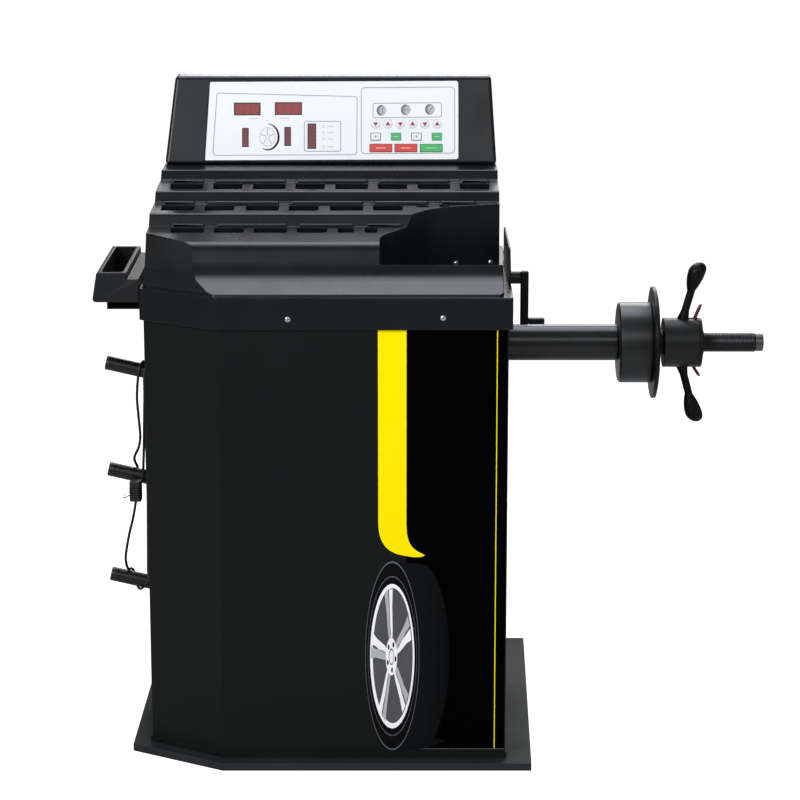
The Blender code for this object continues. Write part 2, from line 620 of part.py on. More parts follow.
def make_spindle():
    """Housing fixed to the cabinet; shaft, hub, flange, threaded stub and pulley turn in it."""
    neck = 0.0153
    length, shoulder = TUBE_END - TUBE_START, 0.018
    housing = [(TUBE_R, length), (TUBE_R, 0), (neck, 0), (neck, shoulder), (TUBE_BORE, shoulder),
               (TUBE_BORE, length - shoulder), (neck, length - shoulder), (neck, length)]
    turned_part("spindle_housing", housing, BLACK_COAT, SPINDLE, closed=True, location=(TUBE_START, 0, 0))

    shaft = [(0, HUB_START), (0.015, HUB_START), (0.015, SPINDLE_LEFT), (0, SPINDLE_LEFT)]
    turned_part("main_spindle", shaft, STEEL, TURNING, 40)
    hub = [(0, HUB_END), (HUB_R - 0.003, HUB_END), (HUB_R, HUB_END - 0.003), (HUB_R, HUB_START + 0.006),
           (HUB_R - 0.002, HUB_START + 0.002), (HUB_R - 0.006, HUB_START + GAP), (0, HUB_START + GAP)]
    turned_part("drive_hub", hub, BLACK_OXIDE, TURNING)
    flange = [(0, FLANGE_END), (0.0940, FLANGE_END), (FLANGE_R - 0.002, FLANGE_END - 0.0015),
              (FLANGE_R, FLANGE_END - 0.0035), (FLANGE_R, FLANGE_START + 0.003),
              (FLANGE_R - 0.002, FLANGE_START + 0.001), (0.078, FLANGE_START), (0, FLANGE_START)]
    turned_part("wheel_flange", flange, BLACK_OXIDE, TURNING)
    tip_r = 0.0166
    stub = [(0, STUB_END), (tip_r - 0.0018, STUB_END), (tip_r, STUB_END - 0.002), (tip_r, STUB_END - 0.0140),
            (STUB_R, STUB_END - 0.017), (STUB_R, STUB_START), (0, STUB_START)]
    turned_part("threaded_shaft", stub, BLACK_OXIDE, TURNING, 40)
    turned_part("spindle_pulley", pulley_profile(PULLEY_R, 0.0153), STEEL, TURNING, closed=True)

    motor_shaft = [(0.0070, 0.050), (0.0070, PULLEY_WIDTH / 2 + 0.003)]
    body = pulley_profile(MOTOR_PULLEY_R, 0)
    turned_part("motor_pulley", [(0, 0.050)] + motor_shaft + body[1:], STEEL, MOTOR_TURNING, 32)


def make_nut():
    """Quick nut: pressure ring, hub, two paddle handles and two release levers."""
    ring = [(RING_R, RING_END), (RING_R, RING_START), (NUT_BORE, RING_START), (NUT_BORE, RING_END)]
    turned_part("pressure_ring", ring, BLACK_OXIDE, NUT, closed=True)
    hub = [(0.0230, NUT_END + 0.004), (0.0240, NUT_END), (NUT_R - 0.001, NUT_END), (NUT_R, NUT_END - 0.001),
           (NUT_R, NUT_START + 0.001), (NUT_R - 0.001, NUT_START), (NUT_BORE, NUT_START),
           (NUT_BORE, NUT_END + 0.004)]
    nut = turned_part("nut_hub", hub, BLACK_OXIDE, NUT_TURNING, closed=True)
    slot_x = LEVER_X - 0.002
    for side in (1, -1):
        low, high = sorted((side * 0.0335, side * 0.060))
        pocket = between((slot_x - 0.007, -0.006, low), (slot_x + 0.011, 0.006, high))
        combine(nut, pocket, parent=NUT_TURNING)

    for key, side in (("upper", 1), ("lower", -1)):
        make_handle(f"nut_handle_{key}", side)

    for key, side, pivot in (("upper", 1, LEVER_UPPER), ("lower", -1, LEVER_LOWER)):
        reach = LEVER_REACH[key]
        points = [(0, 0, 0), (0.004, 0, side * 0.010), (0.010, 0, side * reach * 0.75),
                  (0.0135, 0, side * reach)]
        swept(f"release_lever_{key}", points, [0.0030, 0.0030, 0.0030, 0.0024], DARK_RED, pivot, 2)


def make_handle(name, side):
    """Paddle handle that leans outwards along the shaft, its root hollowed to the hub."""
    count, root, root_x, lean = 17, NUT_R - 0.004, 0.6575, 0.274
    points, radii = [], []
    for i in range(count):
        along = root + (HANDLE_TIP - root) * i / (count - 1)
        points.append((root_x + lean * (along - root), 0, side * along))
        radii.append(handle_radius(along, HANDLE_TIP))
    handle = as_mesh(swept(name, points, radii, BLACK_OXIDE, NUT_TURNING))
    combine(handle, rod(NUT_R + GAP, NUT_START, NUT_END, 48, "X"), parent=NUT_TURNING)


def handle_radius(along, tip):
    """Radius of a nut handle: flared root, slim arm, paddle that swells to a ball at the tip."""
    ball, slim, flare = 0.0165, 0.0075, 0.0035
    ball_at, swell_from = tip - ball, 0.0985
    if along > ball_at:
        return math.sqrt(max(ball ** 2 - (along - ball_at) ** 2, 0.0025 ** 2))
    if along > swell_from:
        t = (along - swell_from) / (ball_at - swell_from)
        return slim + (ball - slim) * math.sin(t * math.pi / 2) ** 0.85
    return slim + flare * min(1.0, max(0.0, 1 - (along - NUT_R) / 0.015))


# ---------------------------------------------------------------- gauge, tray, pegs

def make_gauge():
    """Bushing in the right wall, sliding rod, and the arm that swings about the rod with its foot."""
    bushing = [(0.0180, 0.0705), (0.0180, 0), (GAUGE_R + GAP, 0), (GAUGE_R + GAP, 0.0705)]
    turned_part("gauge_bushing", bushing, BLACK_PLASTIC, GAUGE, 32, closed=True, location=(0.2610, 0, 0))
    rod_end = GAUGE_ARM_X - GAUGE_ARM_WIDTH / 2 - GAP
    profile = [(0, rod_end), (GAUGE_R, rod_end), (GAUGE_R, 0.030), (0, 0.030)]
    turned_part("gauge_rod", profile, BLACK_COAT, GAUGE_SLIDE, 32)

    half, thick = GAUGE_ARM_WIDTH / 2, 0.0080
    block = between((GAUGE_ARM_X - half, -thick, -GAUGE_ARM_DROP), (GAUGE_ARM_X + half, thick, 0.0125))
    bevel(part("gauge_arm", block, BLACK_COAT, GAUGE_SWING), 0.003, 2)
    foot_z, foot_end = -0.0845, 0.4085
    foot = between((GAUGE_ARM_X + half + GAP, -0.0070, foot_z - 0.006), (foot_end, 0.0070, foot_z + 0.006))
    bevel(part("gauge_foot", foot, BLACK_PLASTIC, GAUGE_SWING), 0.002, 2)


def make_accessory_tray():
    """Open tray against the left side of the skirt, and the channel bracket below it."""
    right, left, top, low = CAB_LEFT - SKIRT_OUT - GAP, -0.4195, 0.898, 0.844
    front, rear = -0.1765, 0.1035
    section = [(left, low), (right, low), (right, top - 0.012), (-0.3565, top - 0.012), (-0.3565, top),
               (-0.4105, top)]
    tray = part("accessory_tray", bar([section], front, rear, "Y"), BLACK_PLASTIC, FRAME)
    combine(tray, between((-0.4025, front + 0.008, low + 0.004), (-0.3645, rear - 0.008, top + 0.01)))
    channel = [(-0.3955, 0.8265), (right, 0.8265), (right, 0.8295), (-0.3925, 0.8295), (-0.3925, 0.8407),
               (right, 0.8407), (right, low - GAP), (-0.3955, low - GAP)]
    part("tray_bracket", bar([channel], -0.150, 0.080, "Y"), BLACK_COAT, FRAME)


def make_pegs():
    """Pegs that rise away from the left wall, each with a collar, cut flush with the wall."""
    tip, edge, collar = PEG_REACH / math.cos(PEG_TILT), 0.0015, PEG_R + 0.0022
    for name, height in PEG_HEIGHTS.items():
        profile = [(0, tip), (PEG_R - edge, tip), (PEG_R, tip - edge), (PEG_R, 0.008), (collar, 0.007),
                   (collar, -0.012), (0, -0.012)]
        peg = turned_part(f"peg_{name}", profile, BLACK_OXIDE, FRAME, 28,
                          rotation=(0, -math.pi / 2 + PEG_TILT, 0), location=(CAB_LEFT, 0, height))
        wall = between((CAB_LEFT - GAP, -0.05, height - 0.06), (CAB_LEFT + 0.05, 0.05, height + 0.06))
        combine(peg, wall, parent=FRAME)


def make_switch():
    """Rocker mains switch in its frame on the rear, beside the rear panel."""
    y, (x, _, z) = CAB_REAR + GAP, SWITCH
    frame = bar([rectangle(x, z, 0.026, 0.034), rectangle(x, z, 0.0206, 0.0286)], y, y + 0.003, "Y")
    part("switch_frame", frame, BLACK_PLASTIC, FRAME)
    rocker = between((-0.0100, -0.0015, -0.0138), (0.0100, 0.0045, 0.0138))
    bevel(part("switch_rocker", rocker, RED, ROCKER), 0.001, 1)


# ---------------------------------------------------------------- mains lead

def peg_point(height, along, angle):
    """Point on a lead that lies on a peg: along from the wall, angle from the top to the front."""
    reach = PEG_R + LEAD_R + 0.0011
    axis = Vector((-math.cos(PEG_TILT), 0, math.sin(PEG_TILT)))
    up = Vector((math.sin(PEG_TILT), 0, math.cos(PEG_TILT)))
    angle = math.radians(angle)
    centre = Vector((CAB_LEFT, 0, height)) + axis * along
    return tuple(centre + up * reach * math.cos(angle) + Vector((0, -1, 0)) * reach * math.sin(angle))


def wrap(height, along, angles, count):
    """Points of a lead wound on a peg, with its place and angle changing evenly."""
    steps = [i / (count - 1) for i in range(count)]
    return [peg_point(height, along[0] + (along[1] - along[0]) * t, angles[0] + (angles[1] - angles[0]) * t)
            for t in steps]


def lead_route():
    """Route of the lead: gland, base pan, up behind the pegs, over the top peg, round the others, plug."""
    low = LEAD_FLOOR
    top, middle, bottom = (PEG_HEIGHTS[key] for key in ("top", "middle", "bottom"))
    route = [LEAD_EXIT, (-0.262, 0.325, 0.103), (-0.263, 0.346, 0.085), (-0.266, 0.360, 0.050),
             (-0.272, 0.368, 0.027), (-0.281, 0.369, low + 0.002), (-0.293, 0.363, low),
             (-0.313, 0.345, low), (-0.332, 0.310, low),
             (-0.342, 0.265, low), (-0.344, 0.190, low), (-0.3445, 0.125, low), (-0.3445, 0.085, low + 0.004),
             (-0.344, 0.055, 0.040), (-0.3425, 0.040, 0.100), (-0.341, 0.034, 0.200), (-0.3405, 0.031, 0.350),
             (-0.340, 0.029, 0.500), (-0.340, 0.026, 0.620), (-0.3405, 0.0215, 0.655)]
    route += wrap(top, (0.0130, 0.0165), (-80, 80), 7)
    route += [(-0.3440, -0.0195, 0.640), (-0.3455, -0.0215, 0.590), (-0.3475, -0.0225, 0.530),
              (-0.3490, -0.0215, 0.500)]
    route += wrap(middle, (0.0235, 0.0400), (85, 330), 11)
    route += [(-0.3675, -0.0020, 0.512), (-0.3580, -0.0090, 0.535), (-0.3545, -0.0120, 0.555),
              (-0.3570, -0.0140, 0.600), (-0.3585, -0.0160, 0.635)]
    route += wrap(top, (0.0270, 0.0200), (70, -80), 7)
    route += [(-0.3480, 0.0225, 0.640), (-0.3470, 0.0250, 0.560), (-0.3465, 0.0250, 0.440),
              (-0.3460, 0.0080, 0.360), (-0.3455, -0.0090, 0.300)]
    route += wrap(bottom, (0.0190, 0.0600), (70, 375), 14)
    route += [(-0.3865, -0.0180, 0.318), (-0.3790, -0.0250, 0.365), (-0.3690, -0.0330, 0.405),
              (PLUG_AT[0], PLUG_AT[1], PLUG_AT[2] - 0.0198 - GAP)]
    return [Vector(point) for point in route]


def smooth_path(route, count):
    """Catmull-Rom curve through the route, centripetal, read at even shares of each leg's turn."""
    ends = [route[0] * 2 - route[1]] + route + [route[-1] * 2 - route[-2]]
    dense = []
    for p0, p1, p2, p3 in zip(ends, ends[1:], ends[2:], ends[3:]):
        t1 = (p1 - p0).length ** 0.5
        t2 = t1 + (p2 - p1).length ** 0.5
        t3 = t2 + (p3 - p2).length ** 0.5
        for step in range(12):
            t = t1 + (t2 - t1) * step / 12
            a1 = p0.lerp(p1, t / t1)
            a2 = p1.lerp(p2, (t - t1) / (t2 - t1))
            a3 = p2.lerp(p3, (t - t2) / (t3 - t2))
            b1 = a1.lerp(a2, t / t2)
            b2 = a2.lerp(a3, (t - t1) / (t3 - t1))
            dense.append(b1.lerp(b2, (t - t1) / (t2 - t1)))
    dense.append(route[-1])
    cost = [0.0]
    for before, here, after in zip(dense, dense[1:], dense[2:] + [dense[-1] * 2 - dense[-2]]):
        leg, nxt = here - before, after - here
        turn = leg.angle(nxt) if nxt.length > 1e-9 else 0.0
        cost.append(cost[-1] + leg.length + TURN_SHARE * turn)
    picked, index = [], 0
    for i in range(count):
        target = cost[-1] * i / (count - 1)
        while index < len(cost) - 2 and cost[index + 1] < target:
            index += 1
        share = (target - cost[index]) / max(cost[index + 1] - cost[index], 1e-9)
        picked.append(dense[index].lerp(dense[index + 1], min(max(share, 0.0), 1.0)))
    return picked


def make_lead():
    """Gland with tapered strain relief on the rear, the lead, and the angled plug."""
    end, bore = LEAD_EXIT[1] - GAP - CAB_REAR, 0.0038
    gland = [(0.0045, end), (0.0080, 0.010), (0.0120, 0.009), (0.0120, GAP), (0.0078, GAP),
             (0.0078, -0.008), (bore, -0.008), (bore, end)]
    turned_part("cord_gland", gland, BLACK_PLASTIC, FRAME, 24, closed=True, rotation=(-math.pi / 2, 0, 0),
                location=(LEAD_EXIT[0], CAB_REAR, LEAD_EXIT[2]))
    points = smooth_path(lead_route(), 84)
    swept("power_cord", points, [LEAD_R] * len(points), LEAD_RUBBER, FRAME, 2)
    plug = part("plug", box((0.022, 0.026, 0.038)), BLACK_PLASTIC, FRAME, PLUG_AT)
    bevel(plug, 0.005, 2)
    aim = math.radians(-118)
    for y in (-0.0065, 0.0065):
        pin = rod(0.0024, 0.004, 0.0265, 12, "Z")
        combine(plug, pin, "UNION", (0, y, 0), (0, aim, 0))


# ---------------------------------------------------------------- build

clear_scene()
PARTS = collection("wheel_balancer")
CUTTERS = collection("cutters")

FRAME = empty("machine_frame", (-CENTRE_X, -CENTRE_Y, 0))
FACE = empty("console_face", (0, CONSOLE_FRONT + FACE_RISE * math.sin(FACE_TILT),
                              CONSOLE_BOTTOM + FACE_RISE * math.cos(FACE_TILT)), FRAME,
             (math.pi / 2 - FACE_TILT, 0, 0))
SPINDLE = empty("spindle_line", (0, 0, AXIS_Z), FRAME)
TURNING = empty("spindle_axis", (0, 0, AXIS_Z), FRAME)
MOTOR_TURNING = empty("motor_axis", (0, 0, MOTOR_Z), FRAME)
NUT = empty("nut_slide", (0, 0, 0), TURNING)
NUT_TURNING = empty("nut_axis", (0, 0, 0), NUT)
LEVER_UPPER = empty("lever_upper_axis", (LEVER_X, 0, LEVER_R), NUT_TURNING)
LEVER_LOWER = empty("lever_lower_axis", (LEVER_X, 0, -LEVER_R), NUT_TURNING)
GAUGE = empty("gauge_line", (0, GAUGE_Y, GAUGE_Z), FRAME)
GAUGE_SLIDE = empty("gauge_slide", (0, 0, 0), GAUGE)
GAUGE_SWING = empty("gauge_swing", (0, 0, 0), GAUGE_SLIDE)
ROCKER = empty("switch_axis", (SWITCH[0], SWITCH[1] + 0.0025, SWITCH[2]), FRAME)

make_base()
make_cabinet()
make_rear_panel()
make_pedestal_and_motor()
make_belt()
make_cover()
make_screws()
make_console()
make_keys()
make_spindle()
make_nut()
make_gauge()
make_accessory_tray()
make_pegs()
make_switch()
make_lead()
bpy.context.view_layer.update()
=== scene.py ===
"""Looks of the wheel balancer: fine meshes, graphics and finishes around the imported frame."""
import math

import bmesh
import bpy
from mathutils import Matrix, Vector


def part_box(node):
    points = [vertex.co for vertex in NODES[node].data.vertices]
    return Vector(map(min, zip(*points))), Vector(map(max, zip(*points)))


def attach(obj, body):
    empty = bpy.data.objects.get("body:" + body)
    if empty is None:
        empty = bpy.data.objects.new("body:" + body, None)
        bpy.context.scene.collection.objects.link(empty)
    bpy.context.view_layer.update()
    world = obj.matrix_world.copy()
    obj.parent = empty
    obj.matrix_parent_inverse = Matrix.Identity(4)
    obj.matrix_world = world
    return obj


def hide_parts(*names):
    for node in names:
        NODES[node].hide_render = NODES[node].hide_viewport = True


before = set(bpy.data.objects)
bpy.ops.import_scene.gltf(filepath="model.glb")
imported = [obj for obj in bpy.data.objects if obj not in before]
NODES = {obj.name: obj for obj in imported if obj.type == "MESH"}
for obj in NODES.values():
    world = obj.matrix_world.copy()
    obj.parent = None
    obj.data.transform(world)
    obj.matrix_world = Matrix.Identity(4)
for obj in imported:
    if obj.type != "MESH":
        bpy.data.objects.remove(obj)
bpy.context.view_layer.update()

# The cabinet's middle on the floor; X, Y, Z below are measured from it, as the frame's parts are
TUBE_START = 0.020
TUBE_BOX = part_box("spindle_housing")
HOME = Vector((TUBE_BOX[0].x - TUBE_START, (TUBE_BOX[0].y + TUBE_BOX[1].y) / 2, 0.0))
AXIS_Z = (TUBE_BOX[0].z + TUBE_BOX[1].z) / 2
GAP = 0.0003                      # left between parts that touch

CAB_LEFT, CAB_RIGHT, CAB_FRONT, CAB_REAR = -0.328, 0.325, -0.2635, 0.2635
CHAMFER_X, CHAMFER_Y = 0.1375, 0.088
BASE_HEIGHT, SHELL_TOP, SHEET = 0.014, 0.850, 0.002
SKIRT_BOTTOM, SKIRT_TOP, SKIRT_OUT = 0.8125, 0.870, 0.007
HUMP_TOP = 1.0455
CONSOLE_FRONT, CONSOLE_TOP_FRONT, CONSOLE_BACK, CONSOLE_TOP = 0.1526, 0.200, 0.2535, 1.2075
CONSOLE_BOTTOM = HUMP_TOP + GAP
FACE_TILT = math.atan2(CONSOLE_TOP_FRONT - CONSOLE_FRONT, CONSOLE_TOP - HUMP_TOP)
FACE_RISE = 0.0087
TRAY_ROWS = [  # front edge Y, front edge Z, first pocket X, pocket pair pitch, number of pairs
    (-0.1565, 0.955, -0.2815, 0.1500, 2),
    (-0.0765, 0.988, -0.3025, 0.1540, 3),
    (0.0035, 1.017, -0.2915, 0.1525, 4),
]
SHORT_POCKETS = [  # row, X, width, distance from the row's front edge
    (0, 0.0212, 0.0270, 0.0365), (0, 0.0700, 0.0210, 0.0365),
    (1, 0.1636, 0.0210, 0.0385), (1, 0.2056, 0.0150, 0.0385),
]
POCKET_WIDE, POCKET_NARROW, POCKET_SPACE = 0.059, 0.053, 0.0195
POCKET_SPANS = [(0.0365, 0.0645), (0.020, 0.051), (0.0145, 0.0475)]  # each row's pockets, behind its edge
POCKET_FLOOR = 0.012
SHELF_DEEP, SHELF_RISE = 0.070, 0.012  # each tray shelf's depth, and its rise towards the back
CORNER_WALL = [(0.0967, -0.190), (0.0967, -0.150), (0.1045, -0.131), (0.1250, -0.110),
               (0.1520, -0.080), (0.1873, -0.050), (0.2250, -0.036), (0.2650, -0.0270), (0.3455, -0.0160)]
CORNER_FLOOR = 0.882
PEG_HEIGHTS = {"top": 0.6755, "middle": 0.4706, "bottom": 0.265}
PEG_R, PEG_TILT, PEG_REACH = 0.01335, math.radians(13.0), 0.0885
LEAD_R = 0.0026
LEAD_EXIT = (-0.262, 0.3045, 0.105)
LEAD_FLOOR = BASE_HEIGHT + LEAD_R + 0.0004
PLUG_AT = (-0.3625, -0.0375, 0.4585)
LOUVRE_ROWS, LOUVRE_PITCH = 5, 0.030

CAMERA_AT, CAMERA_TILT, CAMERA_LENS = (-0.0621, -4.9965, 1.77), math.radians(76.9), 121.5


# ---------------------------------------------------------------- camera, light and floor

def placed(name, data):
    """New object in the scene."""
    thing = bpy.data.objects.new(name, data)
    bpy.context.scene.collection.objects.link(thing)
    return thing


def make_camera():
    """Camera at the photograph's viewing angle."""
    camera = placed("camera", bpy.data.cameras.new("camera"))
    camera.data.lens = CAMERA_LENS
    camera.data.sensor_width = 36.0
    camera.location = CAMERA_AT
    camera.rotation_euler = (CAMERA_TILT, 0, 0)
    bpy.context.scene.camera = camera


def area_light(name, place, aim, size, power, colour=(1, 1, 1), mirrored=True):
    """Soft box at place, turned to aim; one that isn't mirrored shows in no reflection."""
    lamp = bpy.data.lights.new(name, "AREA")
    lamp.shape = "RECTANGLE"
    lamp.size, lamp.size_y = size
    lamp.energy = power
    lamp.color = colour
    holder = placed(name, lamp)
    holder.location = place
    holder.visible_glossy = mirrored
    holder.rotation_euler = (Vector(aim) - Vector(place)).to_track_quat("-Z", "Y").to_euler()


def make_studio():
    """Pale floor, white surroundings, and soft boxes above, left, right, in front and behind."""
    world = bpy.data.worlds.new("studio")
    world.use_nodes = True
    nodes, links = world.node_tree.nodes, world.node_tree.links
    background = nodes["Background"]
    path = nodes.new("ShaderNodeLightPath")
    shade = nodes.new("ShaderNodeMapRange")
    shade.inputs["To Min"].default_value = 0.24
    shade.inputs["To Max"].default_value = 1.0
    links.new(path.outputs["Is Camera Ray"], shade.inputs["Value"])
    links.new(shade.outputs["Result"], background.inputs["Strength"])
    background.inputs["Color"].default_value = (1.0, 1.0, 1.0, 1)
    bpy.context.scene.world = world
    bpy.context.scene.view_settings.view_transform = "Standard"

    far = 30
    floor = placed("floor", polygon_mesh([(-far, -far), (far, -far), (far, far), (-far, far)], 0.0))
    floor.location.z = -0.0005
    floor.data.materials.append(backdrop("floor", 0.45, 0.92))

    area_light("sky", (-0.1, 0.90, 3.0), (-0.1, 0.90, 0.0), (1.8, 1.9), 50, (0.84, 0.91, 1.0))
    area_light("key", (-2.4, -2.8, 2.6), (0.0, 0.0, 0.8), (1.8, 1.8), 102, (0.97, 0.985, 1.0))
    area_light("fill", (2.6, -2.4, 1.8), (0.1, 0.0, 0.8), (1.4, 2.0), 55, (0.97, 0.985, 1.0), False)
    area_light("front", (0.4, -4.0, 3.1), (0.0, 0.0, 1.1), (3.4, 1.0), 24, (0.93, 0.96, 1.0))
    area_light("rear", (0.4, 2.8, 2.2), (0.0, 0.0, 0.8), (2.4, 1.2), 45)


def backdrop(name, albedo, shown):
    """White ground that also shines a little when it is looked at, so that it stays white far away."""
    made = surface(name, (albedo, albedo, albedo), 0.6, mottle=0.01, specular=0.2)
    nodes, links = made.node_tree.nodes, made.node_tree.links
    shader = nodes["Principled BSDF"]
    path = nodes.new("ShaderNodeLightPath")
    shine = nodes.new("ShaderNodeMapRange")
    shine.inputs["To Max"].default_value = shown
    links.new(path.outputs["Is Camera Ray"], shine.inputs["Value"])
    links.new(shine.outputs["Result"], shader.inputs["Emission Strength"])
    shader.inputs["Emission Color"].default_value = (1, 1, 1, 1)
    return made


# ---------------------------------------------------------------- finishes

def add_node(made, kind, inputs=(), **settings):
    """New node in a material, with its input values and its own settings."""
    node = made.node_tree.nodes.new("ShaderNode" + kind)
    for key, value in settings.items():
        setattr(node, key, value)
    for key, value in dict(inputs).items():
        node.inputs[key].default_value = value
    return node


def surface(name, colour, roughness, metallic=0.0, grain=None, mottle=0.12, wear=None, specular=0.5,
            streak=None):
    """Painted, moulded or metal surface: mottled colour and gloss, fine grain, and wear along edges.

    grain is (size in metres, depth in metres); wear is (colour, strength); streak is a stretch of the
    mottling along one axis, for brushed or turned metal.
    """
    made = bpy.data.materials.new(name)
    made.use_nodes = True
    nodes, links = made.node_tree.nodes, made.node_tree.links
    shader = nodes["Principled BSDF"]
    shader.inputs["Metallic"].default_value = metallic
    shader.inputs["Specular IOR Level"].default_value = specular
    source = add_node(made, "TexCoord").outputs["Object"]
    if streak:
        stretch = add_node(made, "Mapping", {"Scale": streak})
        links.new(source, stretch.inputs["Vector"])
        source = stretch.outputs["Vector"]
    cloud = add_node(made, "TexNoise", {"Scale": 40.0 if streak else 9.0, "Detail": 6.0, "Roughness": 0.62})
    links.new(source, cloud.inputs["Vector"])

    tint = add_node(made, "Mix", data_type="RGBA")
    tint.inputs["A"].default_value = (*[c * (1 - mottle) for c in colour], 1)
    tint.inputs["B"].default_value = (*[c * (1 + mottle) for c in colour], 1)
    links.new(cloud.outputs["Fac"], tint.inputs["Factor"])
    colour_out = tint.outputs["Result"]

    gloss = add_node(made, "MapRange", {"From Min": 0.3, "From Max": 0.7,
                                        "To Min": max(roughness - 0.05, 0.02), "To Max": roughness + 0.06})
    links.new(cloud.outputs["Fac"], gloss.inputs["Value"])

    if wear:
        worn, strength = wear
        rub = add_node(made, "MapRange", {"From Min": 0.53, "From Max": 0.66, "To Max": strength})
        links.new(add_node(made, "NewGeometry").outputs["Pointiness"], rub.inputs["Value"])
        patchy = add_node(made, "Math", operation="MULTIPLY")
        links.new(rub.outputs["Result"], patchy.inputs[0])
        links.new(cloud.outputs["Fac"], patchy.inputs[1])
        scuff = add_node(made, "Mix", data_type="RGBA")
        scuff.inputs["B"].default_value = (*worn, 1)
        links.new(colour_out, scuff.inputs["A"])
        links.new(patchy.outputs["Value"], scuff.inputs["Factor"])
        colour_out = scuff.outputs["Result"]

    links.new(colour_out, shader.inputs["Base Color"])
    links.new(gloss.outputs["Result"], shader.inputs["Roughness"])
    if grain:
        size, depth = grain
        fine = add_node(made, "TexNoise", {"Scale": 1.0 / size, "Detail": 3.0})
        links.new(source, fine.inputs["Vector"])
        bump = add_node(made, "Bump", {"Strength": 1.0, "Distance": depth})
        links.new(fine.outputs["Fac"], bump.inputs["Height"])
        links.new(bump.outputs["Normal"], shader.inputs["Normal"])
    return made


def painted_glow_filter(name, colour, painted_glow):
    """Tinted filter over an unlit display: a gloss face with a painted glow, giving off a little of its own
    colour.
    """
    made = surface(name, colour, 0.16, mottle=0.10, specular=0.4)
    shader = made.node_tree.nodes["Principled BSDF"]
    shader.inputs["Emission Color"].default_value = (*colour, 1)
    # Painted glow: the filter emits its own colour though nothing behind it is lit.
    shader.inputs["Emission Strength"].default_value = painted_glow
    return made


def fading(name, near, far, start, end, roughness):
    """Print whose colour fades along X, from near at start to far at end (X from the cabinet's middle)."""
    made = surface(name, near, roughness, mottle=0.15, specular=0.08)
    nodes, links = made.node_tree.nodes, made.node_tree.links
    shader = nodes["Principled BSDF"]
    before = shader.inputs["Base Color"].links[0].from_socket
    place = nodes.new("ShaderNodeTexCoord")
    split = nodes.new("ShaderNodeSeparateXYZ")
    links.new(place.outputs["Object"], split.inputs["Vector"])
    along = nodes.new("ShaderNodeMapRange")
    along.interpolation_type = "SMOOTHSTEP"
    along.inputs["From Min"].default_value = start + HOME.x
    along.inputs["From Max"].default_value = end + HOME.x
    links.new(split.outputs["X"], along.inputs["Value"])
    blend = nodes.new("ShaderNodeMix")
    blend.data_type = "RGBA"
    blend.inputs["B"].default_value = (*far, 1)
    links.new(before, blend.inputs["A"])
    links.new(along.outputs["Result"], blend.inputs["Factor"])
    links.new(blend.outputs["Result"], shader.inputs["Base Color"])
    return made


# ---------------------------------------------------------------- outlines

def rounded(points, radius, steps=4, closed=True):
    """Outline with each corner turned into an arc; radius is one number or one for each corner."""
    radii = radius if isinstance(radius, (list, tuple)) else [radius] * len(points)
    result = []
    count = len(points)
    for i, here in enumerate(points):
        reach = radii[i]
        if reach <= 0 or (not closed and i in (0, count - 1)):
            result.append(tuple(here))
            continue
        here = Vector(here)
        to_last, to_next = Vector(points[i - 1]) - here, Vector(points[(i + 1) % count]) - here
        half = to_last.angle(to_next) / 2
        if half > math.radians(89.5):
            result.append(tuple(here))
            continue
        trim = min(reach / math.tan(half), 0.48 * to_last.length, 0.48 * to_next.length)
        start = here + to_last.normalized() * trim
        end = here + to_next.normalized() * trim
        middle = here + (to_last.normalized() + to_next.normalized()).normalized() * trim / math.cos(half)
        arm_a, arm_b = start - middle, end - middle
        sweep = arm_a.angle_signed(arm_b)
        for step in range(steps + 1):
            turn = -sweep * step / steps
            c, s = math.cos(turn), math.sin(turn)
            result.append((middle.x + arm_a.x * c - arm_a.y * s, middle.y + arm_a.x * s + arm_a.y * c))
    return result


def rectangle(x, y, width, height):
    return [(x - width / 2, y - height / 2), (x + width / 2, y - height / 2),
            (x + width / 2, y + height / 2), (x - width / 2, y + height / 2)]


def ellipse(x, y, rx, ry, count=64, start=0.0, sweep=2 * math.pi):
    share = count if abs(sweep) >= 2 * math.pi - 1e-6 else count - 1
    return [(x + rx * math.cos(start + sweep * i / share), y + ry * math.sin(start + sweep * i / share))
            for i in range(count)]


def inset(loop, distance):
    """Loop moved inwards by distance, or outwards if negative, with mitred corners."""
    area = sum(a[0] * b[1] - b[0] * a[1] for a, b in zip(loop, loop[1:] + loop[:1]))
    side = math.copysign(1.0, area)
    moved = []
    for i, here in enumerate(loop):
        before = (Vector(here) - Vector(loop[i - 1])).normalized()
        after = (Vector(loop[(i + 1) % len(loop)]) - Vector(here)).normalized()
        normal = Vector((-before.y - after.y, before.x + after.x)).normalized() * side
        reach = distance / normal.dot(Vector((-before.y, before.x)) * side)
        moved.append(tuple(Vector(here) + normal * reach))
    return moved


def ribbon(points, width):
    """Closed outline of a line of the given width along open points."""
    left, right = [], []
    for i, here in enumerate(points):
        before = points[max(i - 1, 0)]
        after = points[min(i + 1, len(points) - 1)]
        along = (Vector(after) - Vector(before)).normalized()
        across = Vector((-along.y, along.x)) * width / 2
        left.append(tuple(Vector(here) + across))
        right.append(tuple(Vector(here) - across))
    return left + right[::-1]


def bezier(p0, p1, p2, p3, count=10):
    points = []
    for i in range(count):
        t = i / (count - 1)
        share = ((1 - t) ** 3, 3 * t * (1 - t) ** 2, 3 * t * t * (1 - t), t ** 3)
        points.append(tuple(sum(s * p[k] for s, p in zip(share, (p0, p1, p2, p3))) for k in (0, 1)))
    return points


# ---------------------------------------------------------------- meshes

def mesh_of(bm, name="piece"):
    bmesh.ops.recalc_face_normals(bm, faces=bm.faces)
    mesh = bpy.data.meshes.new(name)
    bm.to_mesh(mesh)
    bm.free()
    return mesh


def polygon_mesh(points, height):
    bm = bmesh.new()
    bm.faces.new([bm.verts.new((x, y, height)) for x, y in points])
    mesh = bpy.data.meshes.new("polygon")
    bm.to_mesh(mesh)
    bm.free()
    return mesh


